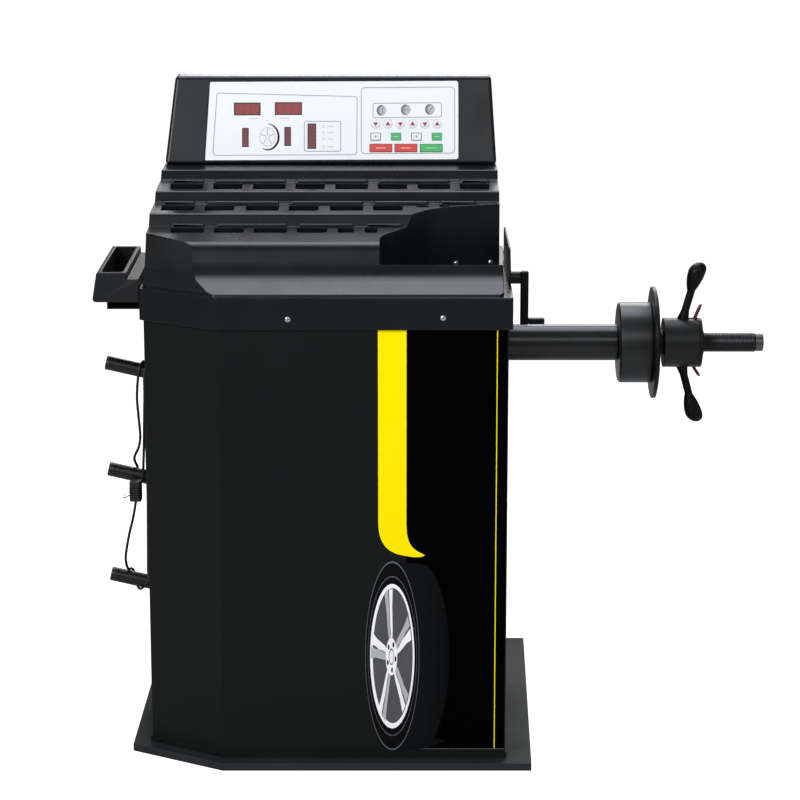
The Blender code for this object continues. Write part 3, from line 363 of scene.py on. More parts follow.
def slab(loops, low, high):
    """Plate from z low to high; the first loop is the outline, and loops inside it are holes."""
    curve = bpy.data.curves.new("outline", "CURVE")
    curve.dimensions = "2D"
    curve.fill_mode = "BOTH"
    curve.extrude = (high - low) / 2
    for loop in loops:
        spline = curve.splines.new("POLY")
        spline.points.add(len(loop) - 1)
        for point, (x, y) in zip(spline.points, loop):
            point.co = (x, y, 0, 1)
        spline.use_cyclic_u = True
    holder = placed("outline", curve)
    filled = bpy.data.meshes.new_from_object(holder.evaluated_get(bpy.context.evaluated_depsgraph_get()))
    bpy.data.objects.remove(holder, do_unlink=True)
    bm = bmesh.new()
    bm.from_mesh(filled)
    bmesh.ops.remove_doubles(bm, verts=bm.verts, dist=1e-6)
    bmesh.ops.translate(bm, verts=bm.verts, vec=(0, 0, (low + high) / 2))
    return mesh_of(bm, "slab")


STAND = {"X": Matrix(((0, 0, 1), (1, 0, 0), (0, 1, 0))).to_4x4(),
         "Y": Matrix(((1, 0, 0), (0, 0, 1), (0, 1, 0))).to_4x4()}


def bar(loops, low, high, axis):
    """Slab stood up: its outline is (Y, Z) and it runs along X, or (X, Z) and it runs along Y."""
    mesh = slab(loops, low, high)
    mesh.transform(STAND[axis])
    bm = bmesh.new()
    bm.from_mesh(mesh)
    return mesh_of(bm, "bar")


def box_mesh(low, high):
    bm = bmesh.new()
    size = [b - a for a, b in zip(low, high)]
    centre = [(a + b) / 2 for a, b in zip(low, high)]
    bmesh.ops.create_cube(bm, size=1, matrix=Matrix.Translation(centre) @ Matrix.Diagonal((*size, 1)))
    return mesh_of(bm, "box")


def joined(meshes):
    """Several meshes as one, as separate shells."""
    bm = bmesh.new()
    for mesh in meshes:
        bm.from_mesh(mesh)
    return mesh_of(bm, "joined")


def spun(profile, steps=72, closed=False):
    """Turned mesh about Z from (radius, height) points; a point on the axis closes the shape there."""
    bm = bmesh.new()
    rings = []
    for radius, height in profile:
        if radius < 1e-7:
            rings.append([bm.verts.new((0, 0, height))])
        else:
            rings.append([bm.verts.new((radius * math.cos(2 * math.pi * i / steps),
                                        radius * math.sin(2 * math.pi * i / steps), height))
                          for i in range(steps)])
    pairs = list(zip(rings, rings[1:])) + ([(rings[-1], rings[0])] if closed else [])
    for a, b in pairs:
        for i in range(steps):
            j = (i + 1) % steps
            corners = [a[i % len(a)], a[j % len(a)], b[j % len(b)], b[i % len(b)]]
            unique = [v for k, v in enumerate(corners) if v not in corners[:k]]
            if len(unique) > 2:
                bm.faces.new(unique)
    return mesh_of(bm, "spun")


def lofted(rings):
    """Mesh through rings of as many points each, closed by a face at both ends."""
    bm = bmesh.new()
    loops = [[bm.verts.new(point) for point in ring] for ring in rings]
    for a, b in zip(loops, loops[1:]):
        for i in range(len(a)):
            j = (i + 1) % len(a)
            bm.faces.new([a[i], a[j], b[j], b[i]])
    bm.faces.new(loops[0])
    bm.faces.new(loops[-1][::-1])
    return mesh_of(bm, "lofted")


def bore_tool(radius, start, end, steps, y=0.0, z=AXIS_Z):
    """Cylinder along X that cuts a round hole."""
    return along_x(spun([(0, start), (radius, start), (radius, end), (0, end)], steps), 0, y, z)


def along_x(mesh, x=0.0, y=0.0, z=0.0):
    """Turned mesh laid along X, with its zero at the given place."""
    mesh.transform(Matrix.Translation((x, y, z)) @ Matrix.Rotation(math.pi / 2, 4, "Y"))
    return mesh


def cut(mesh, *cutters, operation="DIFFERENCE"):
    """Mesh after a Boolean with each cutter in turn."""
    target = placed("target", mesh)
    for cutter in cutters:
        tool = placed("tool", cutter)
        modifier = target.modifiers.new("cut", "BOOLEAN")
        modifier.operation = operation
        modifier.solver = "EXACT"
        modifier.object = tool
        evaluated = target.evaluated_get(bpy.context.evaluated_depsgraph_get())
        result = bpy.data.meshes.new_from_object(evaluated)
        target.modifiers.clear()
        target.data = result
        bpy.data.objects.remove(tool, do_unlink=True)
    result = target.data
    bpy.data.objects.remove(target, do_unlink=True)
    return result


def welded(mesh):
    """Mesh with doubled points welded and its many-sided faces cut into triangles."""
    bm = bmesh.new()
    bm.from_mesh(mesh)
    bmesh.ops.remove_doubles(bm, verts=bm.verts, dist=2e-5)
    bmesh.ops.dissolve_degenerate(bm, dist=2e-5, edges=bm.edges)
    bmesh.ops.triangulate(bm, faces=[face for face in bm.faces if len(face.verts) > 4])
    return mesh_of(bm, "welded")


def clean(mesh, angle=1.0):
    """Mesh with flat regions merged and doubled points welded."""
    bm = bmesh.new()
    bm.from_mesh(mesh)
    bmesh.ops.remove_doubles(bm, verts=bm.verts, dist=2e-6)
    bmesh.ops.dissolve_limit(bm, angle_limit=math.radians(angle), verts=bm.verts, edges=bm.edges)
    return mesh_of(bm, "clean")


# ---------------------------------------------------------------- pieces

def show(name, mesh, finish, body="cabinet", node=None, bevel=0.0, segments=2, limit=32, smooth=32,
         place=None):
    """A shown piece in the cabinet's frame: its finish, its body and the node it stands for."""
    mesh.transform(Matrix.Translation(HOME) @ (place or Matrix.Identity(4)))
    mesh.materials.clear()
    mesh.materials.append(finish)
    mesh.shade_smooth()
    mesh.set_sharp_from_angle(angle=math.radians(smooth))
    mesh.name = name
    piece = placed(name, mesh)
    if bevel:
        modifier = piece.modifiers.new("Rounded edges", "BEVEL")
        modifier.width = bevel
        modifier.segments = segments
        modifier.limit_method = "ANGLE"
        modifier.angle_limit = math.radians(limit)
        modifier.use_clamp_overlap = False
        weigh = piece.modifiers.new("Even shading", "WEIGHTED_NORMAL")
        weigh.keep_sharp = True
    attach(piece, body)
    if node:
        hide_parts(node)
    return piece


def refine(node, finish, body="cabinet", bevel=0.0006, segments=2, limit=32):
    """The node's own shape with its edges rounded."""
    bm = bmesh.new()
    bm.from_mesh(NODES[node].data)
    bmesh.ops.translate(bm, verts=bm.verts, vec=-HOME)
    return show(node + "_fine", clean(mesh_of(bm)), finish, body, node, bevel, segments, limit)


# ---------------------------------------------------------------- mains lead

def peg_point(height, along, angle):
    """Point on a lead that lies on a peg: along is from the wall, angle from the top to the front."""
    reach = PEG_R + LEAD_R + 0.0011
    axis = Vector((-math.cos(PEG_TILT), 0, math.sin(PEG_TILT)))
    up = Vector((math.sin(PEG_TILT), 0, math.cos(PEG_TILT)))
    angle = math.radians(angle)
    centre = Vector((CAB_LEFT, 0, height)) + axis * along
    return tuple(centre + up * reach * math.cos(angle) + Vector((0, -1, 0)) * reach * math.sin(angle))


def wrap(height, along, angles, count):
    """Points of a lead wound on a peg, with its place and angle changing evenly."""
    steps = [i / (count - 1) for i in range(count)]
    return [peg_point(height, along[0] + (along[1] - along[0]) * t, angles[0] + (angles[1] - angles[0]) * t)
            for t in steps]


def lead_route():
    """Route of the lead: gland, base pan, up behind the pegs, over the top peg, round the others, plug."""
    low = LEAD_FLOOR
    top, middle, bottom = (PEG_HEIGHTS[key] for key in ("top", "middle", "bottom"))
    route = [LEAD_EXIT, (-0.262, 0.325, 0.103), (-0.263, 0.346, 0.085), (-0.266, 0.360, 0.050),
             (-0.272, 0.368, 0.027), (-0.281, 0.369, low + 0.002), (-0.293, 0.363, low),
             (-0.313, 0.345, low), (-0.332, 0.310, low),
             (-0.342, 0.265, low), (-0.344, 0.190, low), (-0.3445, 0.125, low), (-0.3445, 0.085, low + 0.004),
             (-0.344, 0.055, 0.040), (-0.3425, 0.040, 0.100), (-0.341, 0.034, 0.200), (-0.3405, 0.031, 0.350),
             (-0.340, 0.029, 0.500), (-0.340, 0.026, 0.620), (-0.3405, 0.0215, 0.655)]
    route += wrap(top, (0.0130, 0.0165), (-80, 80), 7)
    route += [(-0.3440, -0.0195, 0.640), (-0.3455, -0.0215, 0.590), (-0.3475, -0.0225, 0.530),
              (-0.3490, -0.0215, 0.500)]
    route += wrap(middle, (0.0235, 0.0400), (85, 330), 11)
    route += [(-0.3675, -0.0020, 0.512), (-0.3580, -0.0090, 0.535), (-0.3545, -0.0120, 0.555),
              (-0.3570, -0.0140, 0.600), (-0.3585, -0.0160, 0.635)]
    route += wrap(top, (0.0270, 0.0200), (70, -80), 7)
    route += [(-0.3480, 0.0225, 0.640), (-0.3470, 0.0250, 0.560), (-0.3465, 0.0250, 0.440),
              (-0.3460, 0.0080, 0.360), (-0.3455, -0.0090, 0.300)]
    route += wrap(bottom, (0.0190, 0.0600), (70, 375), 14)
    route += [(-0.3865, -0.0180, 0.318), (-0.3790, -0.0250, 0.365), (-0.3690, -0.0330, 0.405),
              (PLUG_AT[0], PLUG_AT[1], PLUG_AT[2] - 0.0201)]
    return [Vector(point) for point in route]


def smooth_path(route, steps=8):
    """Centripetal Catmull-Rom curve through the route."""
    ends = [route[0] * 2 - route[1]] + route + [route[-1] * 2 - route[-2]]
    dense = []
    for p0, p1, p2, p3 in zip(ends, ends[1:], ends[2:], ends[3:]):
        t1 = (p1 - p0).length ** 0.5
        t2 = t1 + (p2 - p1).length ** 0.5
        t3 = t2 + (p3 - p2).length ** 0.5
        for step in range(steps):
            t = t1 + (t2 - t1) * step / steps
            a1 = p0.lerp(p1, t / t1)
            a2 = p1.lerp(p2, (t - t1) / (t2 - t1))
            a3 = p2.lerp(p3, (t - t2) / (t3 - t2))
            b1 = a1.lerp(a2, t / t2)
            b2 = a2.lerp(a3, (t - t1) / (t3 - t1))
            dense.append(b1.lerp(b2, (t - t1) / (t2 - t1)))
    return dense + [route[-1]]


def evenly(points, spacing):
    """Points at even distances along a path, with its two ends kept."""
    reach = [0.0]
    for a, b in zip(points, points[1:]):
        reach.append(reach[-1] + (b - a).length)
    count = round(reach[-1] / spacing)
    spaced, k = [], 0
    for i in range(count + 1):
        at = reach[-1] * i / count
        while k < len(points) - 2 and reach[k + 1] < at:
            k += 1
        span = reach[k + 1] - reach[k]
        spaced.append(points[k].lerp(points[k + 1], (at - reach[k]) / span if span else 0.0))
    return spaced


def gland_place():
    """The gland's middle on the rear sheet, with +Z pointing out of the cabinet."""
    return Matrix.Translation((LEAD_EXIT[0], CAB_REAR, LEAD_EXIT[2])) @ Matrix.Rotation(-math.pi / 2, 4, "X")


def make_lead():
    """Flexible lead, the ribbed strain relief that it leaves, and its angled plug."""
    points = evenly(smooth_path(lead_route(), 24), 0.004)
    curve = bpy.data.curves.new("mains_lead", "CURVE")
    curve.dimensions = "3D"
    curve.bevel_depth = LEAD_R
    curve.bevel_resolution = 4
    curve.use_fill_caps = True
    spline = curve.splines.new("POLY")
    spline.points.add(len(points) - 1)
    for point, place in zip(spline.points, points):
        point.co = (*(place + HOME), 1)
    spline.use_smooth = True
    lead = placed("mains_lead", curve)
    curve.materials.append(RUBBER)
    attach(lead, "cabinet")
    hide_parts("power_cord")

    y0 = LEAD_EXIT[1] - 0.0003 - CAB_REAR
    taper = [(0.0040, -0.008), (0.0076, -0.008), (0.0078, 0.0003), (0.0118, 0.0003), (0.0120, 0.0012),
             (0.0120, 0.0070), (0.0112, 0.0084), (0.0080, 0.0090)]
    ribs = 6
    for i in range(ribs):
        along = 0.0110 + (y0 - 0.0135) * i / ribs
        radius = 0.0077 - 0.0030 * i / ribs
        taper += [(radius, along), (radius, along + 0.0026), (radius - 0.0014, along + 0.0031),
                  (radius - 0.0014, along + 0.0042)]
    taper += [(0.0047, y0 - 0.0010), (0.0044, y0), (0.0038, y0)]
    gland = show("strain_relief", spun(taper[::-1], 40, closed=True), RUBBER,
                 node="cord_gland", place=gland_place())

    half = (0.011, 0.013, 0.019)
    block = rounded(rectangle(0, 0, half[0] * 2, half[1] * 2), 0.0045, 5)
    body = slab([block], -half[2], half[2])
    grips = []
    for i in range(5):
        z = -0.012 + 0.0045 * i
        ring = [inset(block, -0.001), inset(block, 0.0006)]
        grips.append(slab(ring, z - 0.0008, z + 0.0008))
    for groove in grips:
        body = cut(body, groove)
    plug = show("plug_body", body, RUBBER, node="plug", bevel=0.0012, segments=3, limit=50,
                place=Matrix.Translation(PLUG_AT))
    pins = []
    for y in (-0.0065, 0.0065):
        pin = spun([(0, 0.0265), (0.0016, 0.0263), (0.0023, 0.0252), (0.0024, 0.0235), (0.0024, 0.004),
                    (0, 0.004)], 24)
        pin.transform(Matrix.Translation((0, y, 0)) @ Matrix.Rotation(math.radians(-118), 4, "Y"))
        pins.append(pin)
    pins = show("plug_pins", joined(pins), ZINC, place=Matrix.Translation(PLUG_AT))


# ---------------------------------------------------------------- base and cabinet

def cabinet_loop():
    """Outline of the cabinet seen from above, with its chamfered corner."""
    return [(CAB_LEFT + CHAMFER_X, CAB_FRONT), (CAB_RIGHT, CAB_FRONT), (CAB_RIGHT, CAB_REAR),
            (CAB_LEFT, CAB_REAR), (CAB_LEFT, CAB_FRONT + CHAMFER_Y)]


def make_cabinet():
    """Folded sheet with bend radii, foot flange and band, and its openings."""
    low, band, flange = BASE_HEIGHT + 0.0003, 0.010, 0.022
    loop = cabinet_loop()

    def bend(distance):
        return rounded(inset(loop, distance), 0.0035 if distance < 0.001 else 0.0020, 5)

    shell = slab([bend(0), bend(SHEET)], low, SHELL_TOP)
    shell = cut(shell, slab([bend(-0.0025), bend(0.001)], low, low + band),
                slab([bend(0.001), bend(flange)], low, low + SHEET), operation="UNION")
    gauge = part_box("gauge_bushing")
    gauge_y = (gauge[0].y + gauge[1].y) / 2 - HOME.y
    gauge_z = (gauge[0].z + gauge[1].z) / 2
    spindle_hole = bore_tool(0.03435, 0.34, 0.30, 72)
    gauge_hole = bore_tool(0.0186, 0.34, 0.30, 48, gauge_y, gauge_z)
    gland_hole = spun([(0, 0.01), (0.0085, 0.01), (0.0085, -0.01), (0, -0.01)], 32)
    gland_hole.transform(gland_place())
    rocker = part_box("switch_frame")
    x, z = (rocker[0].x + rocker[1].x) / 2 - HOME.x, (rocker[0].z + rocker[1].z) / 2
    shell = cut(shell, spindle_hole, gauge_hole, gland_hole,
                box_mesh((-0.25, CAB_REAR - 0.01, 0.16), (0.25, CAB_REAR + 0.01, 0.76)),
                box_mesh((x - 0.0108, CAB_REAR - 0.01, z - 0.0148), (x + 0.0108, CAB_REAR + 0.01, z + 0.0148)))
    show("cabinet_skin", clean(shell, 0.5), COAT, node="cabinet_shell", bevel=0.0003,
         segments=1, limit=50)
    refine("base_pan", BASE_COAT, bevel=0.0010, segments=3)
    refine("spindle_pedestal", COAT, bevel=0.0012)
    refine("drive_motor", MOTOR, bevel=0.0008)


def make_rear_panel():
    """Removable panel with pressed louvres and dome screws round its edge."""
    y0 = CAB_REAR + GAP
    outline = rounded([(-0.27, 0.14), (0.27, 0.14), (0.27, 0.78), (-0.27, 0.78)], 0.006, 5)
    slots = [rounded(rectangle(x, 0.224 + LOUVRE_PITCH * i, 0.09, 0.008), 0.0038, 6)
             for i in range(LOUVRE_ROWS) for x in (-0.115, 0.115)]
    show("rear_panel_fine", bar([outline] + slots, y0, y0 + 0.0015, "Y"), COAT,
         node="rear_panel", bevel=0.0003, segments=1, limit=50)
    hoods = []
    for i in range(LOUVRE_ROWS):
        for x in (-0.115, 0.115):
            z = 0.2285 + LOUVRE_PITCH * i
            hood = [(y0 + 0.0014, z + 0.0035), (y0 + 0.0045, z + 0.0005), (y0 + 0.0062, z - 0.0055),
                    (y0 + 0.0054, z - 0.0058), (y0 + 0.0038, z - 0.0005), (y0 + 0.0014, z + 0.0022)]
            hoods.append(bar([hood], x - 0.047, x + 0.047, "X"))
    show("rear_louvres", joined(hoods), COAT, bevel=0.0004)
    heads = []
    for x, z in [(s * 0.258, h) for s in (-1, 1) for h in (0.155, 0.46, 0.765)] + [(0, 0.152), (0, 0.768)]:
        head = screw_head(0.0048, 0.0024)
        head.transform(Matrix.Translation((x, y0 + 0.0014, z)) @ Matrix.Rotation(-math.pi / 2, 4, "X"))
        heads.append(head)
    show("rear_panel_screws", joined(heads), ZINC)


def screw_head(radius, height, slot_depth=0.0009):
    """Dome head along +Z with a cross recess."""
    arc = [(radius * math.sin(a), height * math.cos(a)) for a in [math.pi / 2 * i / 10 for i in range(11)]]
    head = spun(arc + [(0, 0)], 36)
    arm, half = radius * 0.62, radius * 0.13
    cross = [box_mesh((-arm, -half, height - slot_depth), (arm, half, height + 0.001)),
             box_mesh((-half, -arm, height - slot_depth), (half, arm, height + 0.001))]
    return cut(head, *cross)


def make_cover_screws():
    """Dome screws at the skirt and on the recess wall."""
    for node, radius, height in (("cover_screw_left", 0.0055, 0.0030), ("cover_screw_right", 0.0055, 0.0030),
                                 ("tray_screw_left", 0.0045, 0.0026), ("tray_screw_right", 0.0045, 0.0026)):
        low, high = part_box(node)
        middle = (low + high) / 2 - HOME
        on_wall = node.startswith("tray")
        turn = wall_angle(middle.x) if on_wall else 0.0
        base = middle if on_wall else Vector((middle.x, high.y - HOME.y, middle.z))
        place = Matrix.Translation(base) @ Matrix.Rotation(turn, 4, "Z") @ Matrix.Rotation(math.pi / 2, 4, "X")
        lift = Matrix.Translation((0, 0, -height / 2 if on_wall else 0))
        show(node + "_fine", screw_head(radius, height), ZINC, node=node, place=place @ lift)


def wall_angle(x):
    """Direction of the recess wall at x, as a turn about Z."""
    for (x0, y0), (x1, y1) in zip(CORNER_WALL, CORNER_WALL[1:]):
        if x0 <= x < x1:
            return math.atan2(y1 - y0, x1 - x0)
    return 0.0


# ---------------------------------------------------------------- front print

PRINT_FRONT = CAB_FRONT - 0.0002


def printed(name, loops, layer, finish, thick=0.00012):
    """Flat print on the front: layer 0 lies on the sheet and higher layers lie on it."""
    low = PRINT_FRONT - 0.00015 * layer
    return show(name, bar(loops, low - thick, low, "Y"), finish)


def make_front_print():
    """Yellow band with a curled tail, black panel with a thin yellow line, and a plain wheel picture."""
    top, foot = SKIRT_BOTTOM + 0.004, 0.030
    left, right, line = 0.1435, 0.3225, 0.3045
    panel = [(left, top), (left, 0.4700), (left, 0.1800)]
    panel += bezier((left, 0.1800), (left, 0.090), (0.1500, foot), (0.1850, foot), 10)[1:]
    panel += [(right, foot), (right, top)]
    printed("print_panel", [panel], 0, PRINT_BLACK)
    printed("print_line", [rectangle(line, (top + foot) / 2, 0.0016, top - foot)], 1, PRINT_YELLOW)
    printed("print_foot_line", [rectangle((0.160 + right) / 2, foot + 0.0004, right - 0.160, 0.0009)], 1,
            PRINT_GREY)

    outer = bezier((0.0935, 0.4620), (0.0935, 0.4200), (0.1080, 0.4010), (0.1480, 0.3965), 14)
    tail = bezier((0.1480, 0.3965), (0.1600, 0.3935), (0.1720, 0.3945), (0.1776, 0.3985), 6)
    inner = bezier((0.1776, 0.3985), (0.1600, 0.4080), (left + 0.0005, 0.4120), (left + 0.0005, 0.4560), 14)
    band = [(0.0935, top)] + outer + tail[1:] + inner[1:] + [(left + 0.0005, top)]
    printed("print_band", [band], 1, PRINT_YELLOW)

    x, z = 0.1185, 0.2075
    reach_x, reach_z = 0.0490, 0.1795
    tread = ellipse(x, z, reach_x, reach_z, 40, math.pi / 2, math.pi)
    tread += [(x + 0.060, z - reach_z * 0.985), (x + 0.100, z - reach_z * 0.90)]
    tread += ellipse(x + 0.052, z, reach_x * 1.05, reach_z * 0.972, 30, -0.35 * math.pi, 0.85 * math.pi)
    printed("print_tyre", [tread], 2, PRINT_TREAD)
    rim = (0.0402, 0.1375)
    rings = [("print_sidewall", 1.000, 0.985, PRINT_GREY), ("print_sidewall_dark", 0.985, None, PRINT_TYRE)]
    for name, outer_share, inner_share, look in rings:
        loops = [ellipse(x, z, reach_x * outer_share, reach_z * outer_share, 96)]
        if inner_share:
            loops.append(ellipse(x, z, reach_x * inner_share, reach_z * inner_share, 96))
        printed(name, loops, 3, look)
    for i, (share, look) in enumerate(((1.105, PRINT_GREY), (1.065, PRINT_TYRE))):
        loops = [ellipse(x, z, rim[0] * share, rim[1] * share, 96),
                 ellipse(x, z, rim[0] * (share - 0.012), rim[1] * (share - 0.012), 96)]
        printed(f"print_bead_{i + 1}", loops, 4, look)
    printed("print_rim_well", [ellipse(x, z, *rim, 96)], 4, PRINT_WELL)
    loops = [ellipse(x, z, *rim, 96), ellipse(x + 0.0008, z + 0.001, rim[0] * 0.90, rim[1] * 0.935, 96)]
    printed("print_rim_lip", loops, 5, PRINT_SILVER)
    make_spokes(x, z, rim)


def make_spokes(x, z, rim):
    """Five split spokes, a hub with its cap, and five bolt holes, as a picture seen at a slant."""
    hub_x = x - 0.0015

    def slant(radius, angle):
        return hub_x + rim[0] * radius * math.cos(angle), z + rim[1] * radius * math.sin(angle)

    for i in range(5):
        middle = math.radians(98 + 72 * i)
        for side in (-1, 1):
            root, tip, wide = 0.10, 0.93, 0.062
            axis = middle + side * math.radians(5.5)
            spoke = []
            for radius, half in ((root, wide), (0.35, wide * 1.05), (0.70, wide * 0.95), (tip, wide * 1.35)):
                spoke.append((radius, axis + side * half * 0.2 - half / max(radius, 0.3)))
            for radius, half in ((tip, wide * 1.35), (0.70, wide * 0.95), (0.35, wide * 1.05), (root, wide)):
                spoke.append((radius, axis + side * half * 0.2 + half / max(radius, 0.3)))
            loop = [slant(radius, angle) for radius, angle in spoke]
            printed(f"print_spoke_{i + 1}_{'a' if side < 0 else 'b'}", [loop], 6 if side < 0 else 7,
                    PRINT_SILVER if side < 0 else PRINT_SILVER_DARK)
        seam = [slant(radius, middle) for radius in (0.30, 0.55, 0.92)]
        printed(f"print_seam_{i + 1}", [ribbon(seam, 0.0007)], 8, PRINT_WELL)
    printed("print_hub", [[slant(0.26, 2 * math.pi * i / 48) for i in range(48)]], 8, PRINT_SILVER)
    printed("print_hub_ring", [[slant(0.115, 2 * math.pi * i / 32) for i in range(32)],
                               [slant(0.095, 2 * math.pi * i / 32) for i in range(32)]], 9, PRINT_WELL)
    for i in range(5):
        cx, cz = slant(0.185, math.radians(134 + 72 * i))
        printed(f"print_bolt_{i + 1}", [ellipse(cx, cz, 0.0016, 0.0052, 20)], 9, PRINT_TYRE)


# ---------------------------------------------------------------- moulded cover

def cover_profile():
    """Outer section (Y, Z) of the hump with its rolled lips and soft steps."""
    foot = SKIRT_TOP - 0.004
    points = [(-0.2615, foot), (-0.2615, 0.8735), (-0.2050, 0.8995), (-0.1806, 0.9509), (-0.0865, 0.967)]
    radii = [0, 0.004, 0.060, 0.026, 0.002]
    for front, height, _, _, _ in TRAY_ROWS[1:]:
        points += [(front, height), (front + SHELF_DEEP, height + SHELF_RISE)]
        radii += [0.0075, 0.002]
    ridge = TRAY_ROWS[-1][0] + 0.082
    points += [(ridge, HUMP_TOP), (0.2615, HUMP_TOP), (0.2615, foot)]
    radii += [0.006, 0.006, 0]
    return rounded(points, radii, 7)


def corner_block(shrink=0.0):
    """Everything behind the hump's cut front-left corner, which leans back as it rises."""
    rise = [(0, 0.8715), (0.009, 0.8800), (0.0175, 0.8880), (0.0305, 0.9010), (0.0390, 0.920),
            (0.0465, 0.940), (0.052, 0.955)]
    section = [(inward + shrink, height - shrink * 0.6) for inward, height in rise]
    loop = rounded([(section[0][0], 0.80), *section, (section[-1][0], 1.20), (0.90, 1.20), (0.90, 0.80)],
                   [0, 0.002] + [0.012] * 6 + [0, 0, 0], 3)
    block = bar([loop], -0.9, 0.9, "X")
    x, y = inset(cabinet_loop(), -SKIRT_OUT + 0.0005)[0]
    block.transform(Matrix.Translation((x, y, 0))
                    @ Matrix.Rotation(-math.atan2(CHAMFER_Y, CHAMFER_X), 4, "Z"))
    return block


def hump_plan():
    """Outline of the hump seen from above, its front-left corner cut like the cabinet's."""
    chamfer = inset(cabinet_loop(), -SKIRT_OUT + 0.006)
    slope = CHAMFER_Y / CHAMFER_X
    corner_x = chamfer[0][0] + (chamfer[0][1] + 0.2615) / slope
    left_y = chamfer[0][1] + slope * (chamfer[0][0] + 0.3285)
    return [(corner_x, -0.2615), (0.3165, -0.2615), (0.3145, 0.2615), (-0.3125, 0.2615), (-0.3125, 0.10),
            (-0.3285, left_y)]


def pocket_spans():
    """(row, low X, high X, front setback) of every weight pocket."""
    spans = []
    for row, (_, _, start, pitch, pairs) in enumerate(TRAY_ROWS):
        for pair in range(pairs):
            wide = start + pitch * pair
            narrow = wide + POCKET_WIDE + POCKET_SPACE
            near = POCKET_SPANS[row][0]
            spans += [(row, wide, wide + POCKET_WIDE, near), (row, narrow, narrow + POCKET_NARROW, near)]
    return spans + [(row, low, low + width, setback) for row, low, width, setback in SHORT_POCKETS]


def pocket_cutter(row, low_x, high_x, setback):
    """Straight cutter with rounded corners for one weight pocket."""
    front, height = TRAY_ROWS[row][:2]
    far = POCKET_SPANS[row][1]
    middle_x, middle_y = (low_x + high_x) / 2, front + (setback + far) / 2
    mouth = rounded(rectangle(middle_x, middle_y, high_x - low_x, far - setback), 0.0035, 4)
    return slab([mouth], height - POCKET_FLOOR, height + 0.030)


def rail_spans():
    """X runs of the raised rail behind each row: it dips after every other pocket."""
    runs = []
    for row, last in enumerate((0.140, 0.275, None)):
        pockets = sorted(span[1:3] for span in pocket_spans() if span[0] == row)
        starts = [pockets[0][0] - 0.004] + [low - 0.003 for low, _ in pockets[1::2]]
        ends = [high + 0.003 for _, high in pockets[::2]] + [last or pockets[-1][1] + 0.004]
        runs += [(row, low, high, 0.0055) for low, high in zip(starts, ends)]
        runs.append((row, starts[0], ends[-1], 0.0015))
    return runs


def rail(row, low_x, high_x, step):
    """Rail with 45 degree ends against the foot of the riser behind a row."""
    front, height = TRAY_ROWS[row][:2]
    far = POCKET_SPANS[row][1] + 0.0012
    shelf_z = height + SHELF_RISE * far / SHELF_DEEP
    low_z, high_z, rise = shelf_z - 0.0035, shelf_z + step, step + 0.0035
    outline = rounded([(low_x - rise * 0.4, low_z), (high_x + rise * 0.4, low_z), (high_x - rise * 0.6, high_z),
                       (low_x + rise * 0.6, high_z)], [0, 0, 0.004, 0.004], 4)
    return bar([outline], front + far, front + 0.0805, "Y")


def make_cover():
    """Skirt, hump with stepped weight tray, cut-away corner, pockets, rails and hollow underside."""
    loop = cabinet_loop()
    skirt = slab([rounded(inset(loop, -SKIRT_OUT), 0.006, 6)], SKIRT_BOTTOM, SKIRT_TOP)
    hump = cut(bar([cover_profile()], -0.36, 0.36, "X"),
               slab([rounded(hump_plan(), [0.02, 0.012, 0.006, 0.006, 0.02, 0.012], 6)], 0.80, 1.20),
               corner_block(), operation="INTERSECT")
    guard_line = rounded([(-0.170, 0.860), (0.095, 0.860), (0.095, 0.9368), (-0.135, 0.9368), (-0.165, 0.905)],
                         [0, 0, 0.006, 0.010, 0.010], 5)
    cover = cut(skirt, hump, bar([guard_line], 0.3275, 0.3315, "X"), operation="UNION")

    recess = rounded([(-0.1970, 0.8970), (-0.1600, 0.9050), (-0.1560, 0.9050), (-0.1545, CORNER_FLOOR),
                      (0.010, CORNER_FLOOR), (0.010, 1.060), (-0.1970, 1.060)],
                     [0, 0.004, 0.002, 0, 0, 0, 0], 4)
    curve = smooth_path([Vector((x, y, 0)) for x, y in CORNER_WALL[1:]], 6)
    wall = [(0.0967, -0.300)] + [(point.x, point.y) for point in curve] + [(0.3455, -0.300)]
    corner = cut(bar([recess], 0.090, 0.3260, "X"), slab([wall], 0.85, 1.10), operation="INTERSECT")

    inner = [(-0.250, 0.840), (-0.250, 0.866), (-0.188, 0.889), (-0.174, 0.936), (-0.078, 0.936),
             (-0.068, 0.970), (0.002, 0.970), (0.012, 0.999), (0.083, 0.999), (0.098, 1.034),
             (0.250, 1.034), (0.250, 0.840)]
    hollow = cut(bar([inner], -0.34, 0.0907, "X"), slab([inset(hump_plan(), 0.008)], 0.80, 1.10),
                 corner_block(0.010), operation="INTERSECT")
    rear = [(0.016, 0.840), (0.016, 0.999), (0.083, 0.999), (0.098, 1.034), (0.250, 1.034), (0.250, 0.840)]
    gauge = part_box("gauge_bushing")
    bushing_y, bushing_z = (gauge[0].y + gauge[1].y) / 2 - HOME.y, (gauge[0].z + gauge[1].z) / 2
    port = bore_tool(0.0183, 0.36, 0.30, 48, bushing_y, bushing_z)
    cover = cut(cover, corner, slab([inset(loop, -0.0006)], 0.80, SHELL_TOP + 0.0003), hollow,
                bar([rear], 0.0900, 0.3060, "X"),
                box_mesh((0.0880, -0.245, 0.840), (0.3060, 0.0170, CORNER_FLOOR - 0.005)), port)
    cover = cut(cover, joined([pocket_cutter(*span) for span in pocket_spans()]))
    show("cover_shell", welded(cover), COVER, node="top_cover", bevel=0.0013, segments=3,
         limit=35, smooth=22)
    show("tray_rails", joined([rail(*run) for run in rail_spans()]), COVER, bevel=0.0032,
         segments=4, limit=60, smooth=22)


# ---------------------------------------------------------------- console

